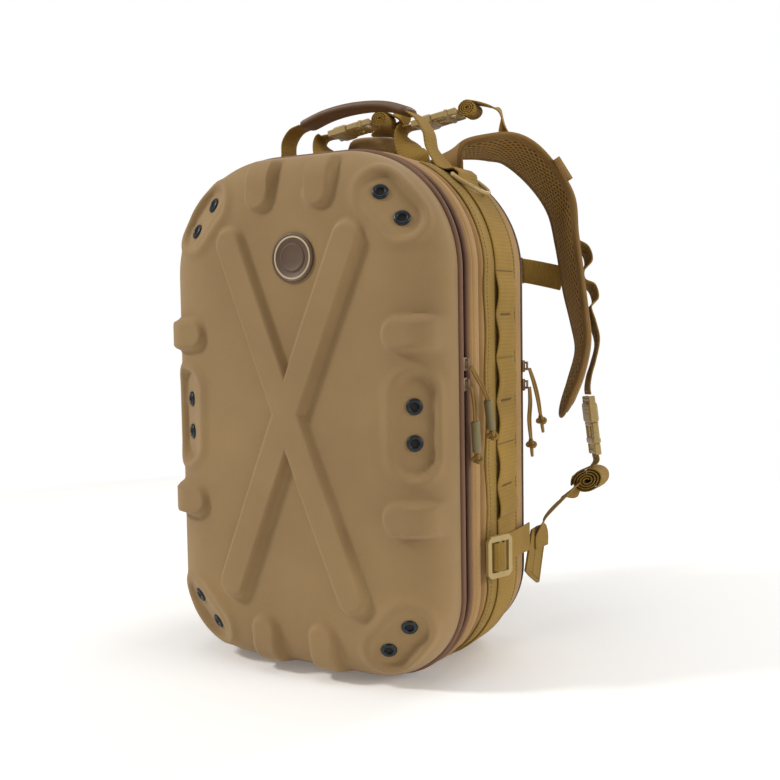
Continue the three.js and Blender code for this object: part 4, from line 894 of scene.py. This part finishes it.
def back_mesh():
    at, out, run = outline(HOOP_PITCH)
    rings = [ring_at(at, out, d, y) for d, y in BACK_RIM]
    uvs = [run_uvs(run, d + y) for d, y in BACK_RIM]
    loft("back_rim", rings, CLOTH, caps=False, uvs=uvs, replaces=["back_panel"], slot="fabric")
    inner = at - out * PAD_INSET
    centre = vec(0, HEIGHT / 2)
    rings, uvs = [], []
    for k in range(BACK_RINGS):
        flat = centre + (inner - centre) * (1 - k / BACK_RINGS)
        x, z = flat[:, 0], flat[:, 1]
        edge = smooth_step(inset_at(x, z), PAD_INSET, PAD_INSET + 10)
        upright = np.exp(-((np.abs(x) - CHANNEL_X) / CHANNEL_HALF) ** 2)
        level = 0.8 * np.exp(-((np.abs(z - CHANNEL_Z) - CHANNEL_RISE) / CHANNEL_HALF) ** 2)
        level = level * (np.abs(x) < CHANNEL_REACH)
        y = PANEL_BACK - 1.6 + 2.6 * edge - 3.0 * np.clip(upright + level, 0, 1) * edge
        rings.append(np.column_stack([x, y, z]))
        uvs.append(flat)
    pad = loft("back_pad", rings, BACK_MESH, uvs=uvs, slot="mesh")


# The side band and its looped webbing

BAND_END_ANGLE, TUNNEL_ANGLE, TUNNEL_SPREAD = 64.29, 51.43, 3.6
TUNNEL_HEIGHT, LOOP_HEIGHT = 6.0, 3.0


def side_run(side):
    """The outline down one side: (x, z) points with outward directions, top to bottom."""
    top, bottom = HEIGHT - TOP_RADIUS, BOTTOM_RADIUS
    points = []

    def corner(radius, z, degrees):
        x_out, z_out = math.cos(math.radians(degrees)), math.sin(math.radians(degrees))
        points.append((HALF_WIDTH - radius + radius * x_out, z + radius * z_out, x_out, z_out))

    for k in range(41):
        corner(TOP_RADIUS, top, BAND_END_ANGLE * (1 - k / 40))
    for k in range(1, 120):
        points.append((HALF_WIDTH, top - (top - bottom) * k / 120, 1.0, 0.0))
    for k in range(31):
        corner(BOTTOM_RADIUS, bottom, -BAND_END_ANGLE * k / 30)
    return np.array(points) * vec(side, 1, side, 1)


def side_band(side, label):
    rows = side_run(side)
    at, out = np.insert(rows[:, :2], 1, 0, axis=1), np.insert(rows[:, 2:], 1, 0, axis=1)
    run = distance_along(at)
    wave = 1.6 * np.sin(run / 12.1) * smooth_step(run, 90, 130)
    back = BAND_FRONT + BAND_WIDTH
    rings, uvs = [], []
    for i in range(len(at)):
        front = BAND_FRONT + wave[i]
        section = [(front, 0.3), (front - 0.3, 1.0), (front + 0.3, 1.9)]
        section += [(front + 2.2, 1.7), (front + 3.4, 1.9)]
        section += [(y, 1.8) for y in np.linspace(front + 6, back - 3, 7)]
        section += [(back - 0.4, 1.9), (back, 1.1), (back - 0.3, 0.3)]
        rings.append([at[i] + out[i] * d + vec(0, y, 0) for y, d in section])
        uvs.append([(y, run[i]) for y, _ in section])
    loft(f"band_{label}", rings, BAND, uvs=uvs, replaces=[f"side_band_{label}"], slot="webbing")
    for tag, y in (("front", BAND_FRONT + 4.4 + wave), ("rear", back - 3.2)):
        line = at + out * 2.0
        line[:, 1] += y
        stitch_row(f"band_stitches_{tag}_{label}", line, out)


HANDLE_PATH = [
    (-0.545, 0.022), (-0.535, 0.055), (-0.475, 0.078), (-0.395, 0.086), (-0.2, 0.104), (0.03, 0.111),
    (0.25, 0.105), (0.41, 0.088), (0.47, 0.074), (0.53, 0.046), (0.555, 0.012),
]
HANDLE_Y = 14.0


def handle_point(pair):
    return vec(pair[0] * HALF_WIDTH, HANDLE_Y, HEIGHT * (1 + pair[1]))


def stitch_heights():
    top = HEIGHT - TOP_RADIUS
    return [top - LOOP_PITCH * (i + 1) for i in range(int((top - BOTTOM_RADIUS) // LOOP_PITCH))]


def webbing_height(x_out, z_out, z):
    """How far the side webbing stands off the body: its tunnel for the ring and its loops."""
    sewn = GAP + WEB + GAP + WEB / 2
    if z <= stitch_heights()[-1] or z > HEIGHT - TOP_RADIUS:
        angle = math.degrees(math.atan2(z_out, abs(x_out)))
        tunnel = math.exp(-((angle - TUNNEL_ANGLE) / TUNNEL_SPREAD) ** 2) if z > HEIGHT / 2 else 0
        return sewn + TUNNEL_HEIGHT * min(tunnel * 1.25, 1)
    share = ((HEIGHT - TOP_RADIUS - z) % LOOP_PITCH) / LOOP_PITCH
    bulge = 0 if z < TRIGLIDE_Z + 30 else LOOP_HEIGHT
    return sewn + bulge * math.sin(math.pi * share) ** 1.4


def side_webbing(side, label):
    """Handle end, sewn foot, the ring's tunnel and the loops down the side."""
    ends = HANDLE_PATH[3::-1] if side < 0 else HANDLE_PATH[-4:]
    grip, *free = [handle_point(pair) for pair in ends]
    free.insert(0, grip + unit(free[0] - grip) * 0.8)
    points = [[*point, HARNESS_WEB] for point in free]
    for x, z, x_out, z_out in side_run(side)[2:]:
        point = vec(x, SIDE_WEB_Y, z) + vec(x_out, 0, z_out) * webbing_height(x_out, z_out, z)
        points.append([*point, SIDE_WEB])
    path = spline(points, 2.2)
    sections = [flat_section(width, WEB) for width in np.clip(path[:, 3], HARNESS_WEB, SIDE_WEB)]
    sweep(f"webbing_{label}", path[:, :3], vec(0, 1, 0), sections, WEBBING,
          replaces=[f"side_webbing_{label}"], slot="webbing")
    bar_tacks(side, label)


def bar_tacks(side, label):
    """A full stitch line and a short zigzag tack, by turns, at every loop's end."""
    surface = HALF_WIDTH + GAP + WEB + GAP + WEB + 0.25
    parts = []
    for k, z in enumerate([HEIGHT - TOP_RADIUS] + stitch_heights()):
        if z < TRIGLIDE_Z + 25:
            continue
        full = k % 2 == 0
        span, pitch = (SIDE_WEB - 2, 2.6) if full else (20, 1.5)
        length = pitch * 0.85 if full else 2.3
        for n, y in enumerate(np.arange(SIDE_WEB_Y - span / 2, SIDE_WEB_Y + span / 2, pitch)):
            slant = 0 if full else (0.9 if n % 2 else -0.9)
            rise = 0 if full else (0.22 if n % 2 else -0.22)
            axes = (unit(vec(0, 1, slant)), unit(vec(0, -slant, 1)), vec(side, 0, 0))
            parts.append((vec(side * surface, y, z + rise), axes, (length, 0.6, 0.5), 0.1))
    boxes(f"bar_tacks_{label}", parts, THREAD, slot="webbing")


# The carry handle's grip

GRIP_LENGTH, GRIP_HALF, GRIP_THICK = 118, 13.4, 4.6


def handle_grip():
    path = spline([handle_point(p) for p in HANDLE_PATH[3:8]], 2.0)
    c, t = np.cos(circle(28)), np.sin(circle(28))
    sections = []
    for share in np.linspace(0, 1, len(path)):
        end = min(share, 1 - share) * GRIP_LENGTH
        close = math.sqrt(max(1 - (1 - min(end / 5, 1)) ** 2, 0.05))
        half, thick = GRIP_HALF * (0.72 + 0.28 * close), GRIP_THICK * (0.45 + 0.55 * close)
        flat = np.stack([np.sign(c) * np.abs(c) ** 0.75, np.sign(t) * np.abs(t) ** 0.8], 1)
        sections.append(flat * vec(half, thick))
    sweep("grip", path, vec(0, 1, 0), sections, GRIP, replaces=["handle_grip"], slot="grip")


# The D-rings, each riding on its own body

RING_PIVOT_RADIUS = TOP_RADIUS + GAP + WEB + RING_ROOM + RING_WIRE
RING_ANGLE = math.radians(90 * 4 / 7)
RING_REACH, RING_LEAN = 29, 3


def d_ring(side, label):
    x = HALF_WIDTH - TOP_RADIUS + RING_PIVOT_RADIUS * math.cos(RING_ANGLE)
    pivot = vec(side * x, SIDE_WEB_Y, HEIGHT - TOP_RADIUS + RING_PIVOT_RADIUS * math.sin(RING_ANGLE))
    down = RING_ANGLE - math.radians(90 - RING_LEAN)
    away = vec(side * math.cos(down), 0, math.sin(down))
    half = SIDE_WEB / 2 + RING_ROOM + RING_WIRE
    flat = [(0, -half + 4), (0, 0), (0, half - 4), (0.8, half - 0.8)]
    for k in range(17):
        angle = math.pi / 2 - math.pi * k / 16
        flat.append((RING_REACH * (0.25 + 0.75 * math.cos(angle)), half * math.sin(angle)))
    flat.append((0.8, -half + 0.8))
    path = spline([pivot + away * a + vec(0, y, 0) for a, y in flat], 1.5, looped=True)
    sweep(f"ring_{label}", path, vec(-away[2], 0, away[0]), round_section(1.9, 14), PLASTIC, looped=True,
          body=f"ring_{label}", replaces=[f"d_ring_{label}"], slot="plastic")


# Triglides keep their CAD solids, with rounded edges

def round_triglide(label):
    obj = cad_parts[f"triglide_{label}"]
    for slot_ in obj.material_slots:
        slot_.material = PLASTIC
    bevel = obj.modifiers.new("edges", "BEVEL")
    bevel.width = 0.9 * MM
    bevel.segments = 3
    bevel.limit_method = "ANGLE"
    bevel.angle_limit = math.radians(35)
    for polygon in obj.data.polygons:
        polygon.use_smooth = False


# The shoulder straps

STRAPS = [
    # spread, sway, back, up, heel, turn, left turn, dip, wide
    (0.32, 0, 0.0, 0.9, 0, 0, 0, 0, 0.84),
    (0.32, 0, 0.01, 0.965, 0, 0, 0, 0, 0.84),
    (0.34, 0.03, 0.07, 1.012, 0.004, 22, 4, -6, 0.84),
    (0.36, 0.08, 0.15, 1.035, 0.008, 42, 8, -9, 0.84),
    (0.42, 0.15, 0.26, 1.045, 0.02, 55, 12, -11, 0.9),
    (0.48, 0.2, 0.42, 1.046, 0.035, 46, 16, -14, 0.97),
    (0.54, 0.23, 0.58, 1.035, 0.035, 40, 20, -9, 1),
    (0.64, 0.27, 0.81, 0.982, 0.03, 43, 23, -6, 1),
    (0.72, 0.29, 0.91, 0.923, 0.02, 47, 26, -8, 0.98),
    (0.76, 0.3, 0.89, 0.843, 0.01, 52, 28, -10, 0.94),
    (0.82, 0.3, 0.83, 0.745, 0, 54, 30, -13, 0.92),
    (0.87, 0.3, 0.77, 0.68, 0, 58, 32, -14, 0.9),
    (0.91, 0.3, 0.7, 0.615, 0, 61, 34, -12, 0.87),
    (0.88, 0.3, 0.6, 0.546, 0, 59, 34, -9, 0.77),
    (0.85, 0.29, 0.52, 0.5, 0, 60, 34, -8, 0.58),
    (0.83, 0.29, 0.48, 0.473, 0, 60, 34, -7, 0.36),
]


def strap_station(side, row):
    """A place on the strap, the way across it, and its width."""
    spread, sway, back, up, heel, turn, left_turn, dip, wide = row
    own = left_turn if side < 0 else turn
    own_dip = math.radians(dip * own / turn if turn > 0 else dip)
    own = math.radians(own)
    y = PANEL_BACK + GAP + STRAP_THICKNESS / 2 + back * STRAP_REACH
    at = vec((side * spread + sway) * HALF_WIDTH, y, (up + (heel if side < 0 else 0)) * HEIGHT)
    level = vec(side * math.cos(own), -math.sin(own), 0) * math.cos(own_dip)
    return at, level - vec(0, 0, math.sin(own_dip)), wide * STRAP_WIDTH


def strap_at(side, up):
    """The strap at a height: its place, the ways across, along and outward, and its width."""
    index = next(i for i, row in enumerate(STRAPS) if i > 5 and row[3] <= up)
    upper, lower = STRAPS[index - 1], STRAPS[index]
    share = (upper[3] - up) / (upper[3] - lower[3])
    from_at, from_across, from_width = strap_station(side, upper)
    to_at, to_across, to_width = strap_station(side, lower)
    along = unit(to_at - from_at)
    across = from_across + (to_across - from_across) * share
    across = unit(across - along * np.dot(across, along))
    outside = np.cross(across, along) * side
    width = from_width + (to_width - from_width) * share
    return from_at + (to_at - from_at) * share, across, along, outside, width


def strap_path(side):
    stations = [strap_station(side, row) for row in STRAPS]
    return spline([[*at, *across, width] for at, across, width in stations], 3.0)


STRAP_STEPS = 15


def shoulder_strap(side, label):
    """A padded strap: mesh on the inner face, cloth on the outer one, bound edges."""
    path = strap_path(side)
    points, widths = path[:, :3], path[:, 6]
    along, edge, up = frames(points, path[:, 3:6])
    outside = np.cross(edge, along) * side
    up = up * np.sign(np.sum(outside * up, axis=1).mean())
    share = np.linspace(-1, 1, STRAP_STEPS)
    run = distance_along(points)
    rings, uvs = [], []
    for i in range(len(points)):
        half = widths[i] / 2 - 1.0
        tip = min(1.0, (run[-1] - run[i] + 2.0) / 14.0)
        thick = STRAP_THICKNESS / 2 * (0.35 + 0.65 * tip)
        crown = thick * (0.42 + 0.58 * (1 - np.abs(share) ** 3.2))
        middle = points[i] + np.outer(share * half, edge[i])
        lift = np.outer(crown, up[i])
        rings.append([*(middle + lift), *(middle - lift * 0.96)[::-1]])
        uvs.append([(s * half, run[i]) for s in [*share, *share[::-1]]])
    count = 2 * STRAP_STEPS
    face_slot = [0 if k < STRAP_STEPS or k == count - 1 else 1 for k in range(count)]
    strap = loft(f"strap_{label}", rings, [STRAP_CLOTH, MESH], uvs=uvs, face_slot=face_slot,
                 replaces=[f"shoulder_strap_{label}"], slot="mesh")
    strap_binding(label, points, edge, up, widths)


def strap_binding(label, points, edge, outside, widths):
    """One bound edge that goes down one side, round the tip and up the other."""
    half = (widths / 2 - 2.2)[:, None]
    right = points + edge * half - outside * 1.6
    left = points - edge * half - outside * 1.6
    tip = points[-1] + unit(points[-1] - points[-2]) * 2.5 - outside[-1] * 1.6
    line = np.concatenate([right, [tip], left[::-1]])
    line = spline(line[::3], 3.0)
    normal = np.concatenate([outside, [outside[-1]], outside[::-1]])
    picks = np.linspace(0, len(normal) - 1, len(line)).astype(int)
    across = np.cross(np.gradient(line, axis=0), normal[picks])
    section = round_section(1, 12) * vec(4.6, 2.9)
    sweep(f"strap_binding_{label}", line, across, section, BINDING, slot="webbing")


TAB_UP, TAB_THICKNESS = 0.975, 2.8


def label_tab():
    at, across, along, outside, width = strap_at(1, TAB_UP)
    edge = at + across * (width / 2 + 0.4)
    rows = [(edge + across * reach, along) for reach in (0, 6, 12.4)]
    tape("tab", rows, STRAP_CLOTH, thickness=TAB_THICKNESS, replaces=["label_tab"], slot="fabric")
    parts = []
    for n in range(-3, 4):
        spot = edge + across * 2.2 + along * n * 3.2 + outside * 1.5
        parts.append((spot, (along, across, outside), (2.2, 0.6, 0.4), 0.1))
    boxes("tab_stitches", parts, THREAD, slot="fabric")


# Side-release buckles, fastened: a body with side windows, a plug with two prongs, bars at both ends

BUCKLE_PARTS = [
    # along, to both sides, to both faces, sizes, bevel
    (4.0, 0, 0, (3.4, 28, 6.0), 1.2),
    (5.5, 13.6, 0, (9, 3.2, 6.4), 1.0),
    (14.5, 0, 0, (17, 31, 9.4), 1.8),
    (9.5, 0, 4.7, (1.1, 16, 0.7), 0.2),
    (12.5, 0, 4.7, (1.1, 16, 0.7), 0.2),
    (15.5, 0, 4.7, (1.1, 16, 0.7), 0.2),
    (23.5, 0, 0, (4, 26, 8.2), 1.2),
    (27.5, 14.9, 0, (7, 2.6, 5.2), 1.0),
    (29.5, 13.2, 0, (13, 5.4, 6.6), 1.6),
    (31, 0, 0, (14, 8.5, 5.6), 1.4),
    (37.5, 0, 0, (6.5, 29.5, 8.6), 1.8),
    (44.5, 13.4, 0, (9, 3.4, 6.2), 1.0),
    (46.8, 0, 0, (3.2, 27, 5.4), 1.2),
]


def buckle(name, start, direction, across, node, length=BUCKLE_LENGTH):
    direction = unit(direction)
    across = unit(across - direction * np.dot(across, direction))
    up = np.cross(direction, across)
    stretch = length / BUCKLE_LENGTH
    parts = []
    for d, aside, above, (long_, wide, thick), bevel in BUCKLE_PARTS:
        for a, u in sorted({(aside, above), (-aside, -above)}):
            centre = start + direction * d * stretch + across * a + up * u
            parts.append((centre, (direction, across, up), (long_ * stretch, wide, thick), bevel))
    boxes(name, parts, PLASTIC, replaces=[node], slot="plastic")


# The load lifters

RIGHT_SHIFT = 97.0


def lifter_point(side, x, y, z):
    shift = RIGHT_SHIFT if side > 0 else 0.0
    return vec(x * HALF_WIDTH + shift, PANEL_FRONT + y * STRAP_REACH, HEIGHT * z)


def spiral_roll(name, centre, axis, long_way, radii, turns, tail, **rest):
    """Spare webbing rolled into a flat spiral, with its tail running on through given stations."""
    axis = unit(axis)
    long_way = unit(long_way - axis * np.dot(long_way, axis))
    other = np.cross(axis, long_way)
    long_, short = radii
    rows = []
    count = int(18 * turns)
    for k in range(count + 1):
        angle = 2 * math.pi * turns * k / count
        grow = 0.14 + 0.86 * k / count
        spoke = long_way * long_ * math.cos(angle) + other * short * math.sin(angle)
        rows.append((centre + spoke * grow, axis))
    tape(name, rows + tail, WEBBING, thickness=1.4, slot="webbing", **rest)


def lifter_foot(side):
    """Where the lifter is sewn in, just above the rear seam."""
    foot = lifter_point(side, -0.44, 0, 1)
    foot[1] = REAR_ZIPPER_BACK + GAP + 2
    nearest = max(abs(foot[0]) - HARNESS_WEB / 2, 0)
    beyond = max(nearest - (HALF_WIDTH - TOP_RADIUS), 0)
    foot[2] = HEIGHT - TOP_RADIUS + math.sqrt((TOP_RADIUS - 3) ** 2 - beyond ** 2)
    return foot


def lifter(side, label):
    direction = unit(lifter_point(side, 0.09, 0.33, 1.121) - lifter_point(side, -0.25, 0.27, 1.1))
    start = lifter_point(side, -0.52, 0.27, 1.092)
    across = unit(vec(0, 1, 0) - direction * direction[1])
    foot = lifter_foot(side)
    rows = [
        (foot, (1, 0, 0)), (foot + vec(0, 0, 9), (1, 0, 0)),
        (lifter_point(side, -0.5, 0.1, 1.03), (1, 0.3, 0)),
        (start - direction * 12, across), (start + direction * 3, across),
    ]
    tape(f"lifter_web_{label}", rows, WEBBING, replaces=[f"lifter_strap_{label}"], slot="webbing")
    buckle(f"lifter_clip_{label}", start, direction, across, f"lifter_buckle_{label}")
    centre = start + direction * (BUCKLE_LENGTH + 9.3)
    (before, _, _), (here, flat, _), (after, _, _) = [strap_station(side, row) for row in STRAPS[4:7]]
    along = unit(after - before)
    outside = unit(np.cross(flat, along)) * side
    sewn = here + outside * (STRAP_THICKNESS / 2 + WEB + 0.6)
    tail = [(centre + direction * 13 + along * 15 - vec(0, 0, 2), across)]
    tail += [(sewn + along * 10, -flat), (sewn + along * 22, -flat)]
    spiral_roll(f"lifter_tail_{label}", centre, across, direction, (9.0, 7.2), 3.75, tail,
                replaces=[f"lifter_roll_{label}"])


# The harness webbing down the straps' outer sides, the low buckles and the low straps

STRAP_WEB_POINTS = [
    (0.835, 0), (0.82, 9), (0.79, 11), (0.768, 1), (0.75, 1), (0.735, 10), (0.705, 11), (0.69, 3),
    (0.66, 5), (0.62, 7), (0.585, 6), (0.556, 5), (0.533, 7),
]


def low_direction(side):
    return unit(vec(side * 0.13, -0.02, -1))


def strap_web_rows(side):
    rows = []
    for up, off in STRAP_WEB_POINTS:
        at, across, _, outside, _ = strap_at(side, up)
        rows.append((at + outside * (STRAP_THICKNESS / 2 + GAP + WEB / 2 + off), across))
    rows.append((rows[-1][0] + low_direction(side) * 6, rows[-1][1]))
    return rows


def low_wing(side):
    """The two ends of the low flap's middle line."""
    first = vec(side * (LOW_WEB_OUT + 1), BODY_BACK + 9, TRIGLIDE_Z - 16)
    return first, vec(side * (LOW_WEB_OUT + 3), BODY_BACK + 28, TRIGLIDE_Z - 22)


def low_tab_top(side):
    _, wing = low_wing(side)
    return vec(wing[0] + side * (WEB + 2 * GAP), wing[1] - 6, TRIGLIDE_Z - 2)


def harness(side, label):
    """The webbing down the strap, the low buckle and the rolled low strap."""
    rows = strap_web_rows(side)
    tape(f"strap_loops_{label}", rows, WEBBING, replaces=[f"strap_web_{label}"], slot="webbing")
    last, across = rows[-1]
    direction = low_direction(side)
    start = last + direction * GAP
    buckle(f"low_clip_{label}", start, direction, across, f"low_buckle_{label}", LOW_BUCKLE_LENGTH)
    end = last + direction * (LOW_BUCKLE_LENGTH + 2 * GAP)
    tab = low_tab_top(side)
    lay = vec(side * 0.35, -0.93, 0.12)
    first, second = low_wing(side)
    flat = (first - second) * vec(1, 1, 0) * side
    tail = [
        (end + (tab - end) * 0.5 + vec(-side * 3, 3, 0), lay * side),
        (tab + vec(side * 2, 2, 14), lay * side), (tab, flat), (tab + vec(0, 0, -12), flat),
    ]
    centre = end + vec(-side * 4, -3, -23)
    long_way = vec(side * 0.9, 0, 0.42)
    spiral_roll(f"low_tail_{label}", centre, vec(0, -side, 0), long_way, (17.0, 11.8), 4.5, tail,
                replaces=[f"low_strap_{label}"])
    loop = [(end + direction * d, across) for d in (-2, 5)] + [(end + vec(-side * 5, -3, -13), lay)]
    tape(f"low_loop_{label}", loop, WEBBING, slot="webbing")
    low_webbing(side, label)
    low_flap(side, label)


def low_webbing(side, label):
    """The band that comes out of the triglide and runs back to the flap."""
    turn = math.radians(20)
    slant = vec(side * math.sin(turn), math.cos(turn), 0)
    out = vec(side * math.cos(turn), -math.sin(turn), 0)
    corner = vec(side * (HALF_WIDTH + GAP + 2 * WEB + 1), -29, TRIGLIDE_Z)
    over = 3 + GAP + WEB / 2
    bends = [(7.5, -1.4), (8.6, 2.4), (11.3, over), (18.8, over), (21.4, 2.2), (22.8, -2.2)]
    rows = [(corner + slant * a + out * d, HARNESS_WEB) for a, d in bends]
    for y, width in ((16, HARNESS_WEB), (42, HARNESS_WEB), (BODY_BACK + 2, 27)):
        rows.append((vec(side * LOW_WEB_OUT, y, TRIGLIDE_Z), width))
    ribbon(f"low_band_{label}", rows, WEB, 1.6, vec(0, 0, 1), WEBBING, slot="webbing")


def low_flap(side, label):
    """The sewn flap where the low strap meets the body: a folded panel with a stitched edge."""
    first, last = low_wing(side)
    step = (last - first) / 19
    rows = [
        (first - step * 8 - vec(side * 0.6, 0, 0), 40), (first, 48), (first + step * 8, 53),
        (last - step * 3, 57), (last, 55),
    ]
    ribbon(f"low_flap_{label}", rows, 2.2, 1.4, vec(0, 0, 1), BAND,
           replaces=[f"low_webbing_{label}"], slot="webbing")
    away = unit(np.cross(last - first, vec(0, 0, 1))) * side
    start, end = first + step * 2, last - step * 2.5
    upright = unit(vec(0, 0, 1) - step * step[2] / np.dot(step, step))
    corners = [start + upright * 21, end + upright * 25, end - upright * 25, start - upright * 21]
    corners.append(corners[0])
    line = np.concatenate([np.linspace(corners[k], corners[k + 1], 12) for k in range(4)]) + away * 1.3
    outward = np.repeat(away[None], len(line), 0)
    stitch_row(f"flap_edge_stitches_{label}", line, outward, pitch=3.2, length=2.0)


CHEST_UP, CHEST_BOW, CHEST_STEPS = 0.775, 14, 12


def chest_strap():
    ends = []
    for side in (-1, 1):
        at, across, along, _, width = strap_at(side, CHEST_UP)
        ends.append((at - across * (width / 2 + GAP + 2 * WEB), -along))
    (left, left_way), (right, right_way) = ends
    rows = []
    for k in range(CHEST_STEPS + 1):
        share = k / CHEST_STEPS
        rise = vec(0, 0, CHEST_BOW * math.sin(math.pi * share))
        rows.append((left + (right - left) * share + rise, left_way * (1 - share) + right_way * share))
    tape("chest_band", rows, WEBBING, replaces=["chest_strap"], slot="webbing")
    keeper, across = rows[9]
    along = rows[10][0] - rows[8][0]
    axes = (unit(along), unit(across), unit(np.cross(along, across)))
    boxes("chest_keeper", [(keeper, axes, (6.5, 27.5, 4.4), 0.8)], WEBBING, slot="webbing")


def slider_mesh(pull):
    """A zipper slider: a wedge body with a bridge and a small eye."""
    width = (REAR_ZIPPER if pull["rear"] else ZIPPER) - 0.8
    axes = (vec(0, 0, 1), vec(0, 1, 0), vec(1, 0, 0))
    pieces = [
        (1.2, 0, (11, width, 2.4), 0.7),
        (3.4, 3.4, (1.8, 2.2, 3.2), 0.5),
        (3.4, -2.6, (1.8, 2.2, 3.2), 0.5),
        (4.8, 0.4, (8.2, 2.4, 1.5), 0.6),
    ]
    parts = [(slider_place(pull) + vec(x, 0, z), axes, sizes, bevel) for x, z, sizes, bevel in pieces]
    boxes(f"slide_{pull['name']}", parts, SLIDER, replaces=[f"slider_{pull['name']}"], slot="slider")


# Floor, light and world

FLOOR_RADIUS, FLOOR_HEIGHT, FLOOR_STEPS, FLOOR_GLOW = 1.1, -0.0005, 96, 0.13


def add_stage():
    rim = [(*point, FLOOR_HEIGHT) for point in round_section(FLOOR_RADIUS, FLOOR_STEPS)]
    mesh = bpy.data.meshes.new("floor")
    mesh.from_pydata(rim, [], [tuple(range(FLOOR_STEPS))])
    white = shader("floor_white", (0.9, 0.9, 0.9), 0.9)
    bsdf = white.node_tree.nodes["Principled BSDF"]
    bsdf.inputs["Emission Color"].default_value = (1, 1, 1, 1)
    bsdf.inputs["Emission Strength"].default_value = FLOOR_GLOW
    mesh.materials.append(white)
    floor = bpy.data.objects.new("floor", mesh)
    bpy.context.scene.collection.objects.link(floor)


def area_light(name, place_, target, size, power, color):
    data = bpy.data.lights.new(name, "AREA")
    data.shape = "DISK"
    data.size = size
    data.energy = power
    data.color = color
    light = bpy.data.objects.new(name, data)
    light.location = place_
    light.rotation_euler = (Vector(target) - Vector(place_)).to_track_quat("-Z", "Y").to_euler()
    bpy.context.scene.collection.objects.link(light)


LIGHTS = [
    # name, place, target, size, power, colour
    ("key", (-1.5, -1.3, 1.8), (0, 0, 0.25), 0.45, 34, (1, 0.99, 0.96)),
    ("right", (2.0, 0.1, 0.9), (0, 0.05, 0.25), 0.9, 17, (1.0, 0.97, 0.92)),
    ("rear", (0.6, 1.7, 1.4), (0, 0.1, 0.3), 1.0, 14, (1, 1, 1)),
    ("top", (0.0, -0.2, 2.4), (0, 0, 0.2), 1.6, 12, (1, 1, 1)),
]


CAST_COLOR, CAST_STRENGTH = (1.0, 0.985, 0.95, 1), 0.36


def add_world():
    """White behind everything, and a dimmer even light on the object."""
    world = bpy.data.worlds.new("studio")
    world.use_nodes = True
    tree = world.node_tree
    seen = tree.nodes["Background"]
    seen.inputs["Color"].default_value = (1, 1, 1, 1)
    seen.inputs["Strength"].default_value = 1.0
    cast = tree.nodes.new("ShaderNodeBackground")
    cast.inputs["Color"].default_value = CAST_COLOR
    cast.inputs["Strength"].default_value = CAST_STRENGTH
    path = tree.nodes.new("ShaderNodeLightPath")
    mix = tree.nodes.new("ShaderNodeMixShader")
    tree.links.new(path.outputs["Is Camera Ray"], mix.inputs["Fac"])
    tree.links.new(cast.outputs["Background"], mix.inputs[1])
    tree.links.new(seen.outputs["Background"], mix.inputs[2])
    tree.links.new(mix.outputs["Shader"], tree.nodes["World Output"].inputs["Surface"])
    bpy.context.scene.world = world
    bpy.context.scene.view_settings.view_transform = "Standard"


# The camera and the cords come first, then the pieces, and the stage and the lights last

add_camera()
for pull in PULLS:
    add_pull(pull)
for build in (shell_mesh, shell_hollow, add_grommets, add_badge, add_seam,
              body_mesh, add_flap_stitches, back_mesh, handle_grip):
    build()
for side, label in ((-1, "left"), (1, "right")):
    side_band(side, label)
    side_webbing(side, label)
    d_ring(side, label)
    round_triglide(label)
    shoulder_strap(side, label)
    lifter(side, label)
    harness(side, label)
label_tab()
chest_strap()
for pull in PULLS:
    slider_mesh(pull)
add_stage()
for light in LIGHTS:
    area_light(*light)
add_world()
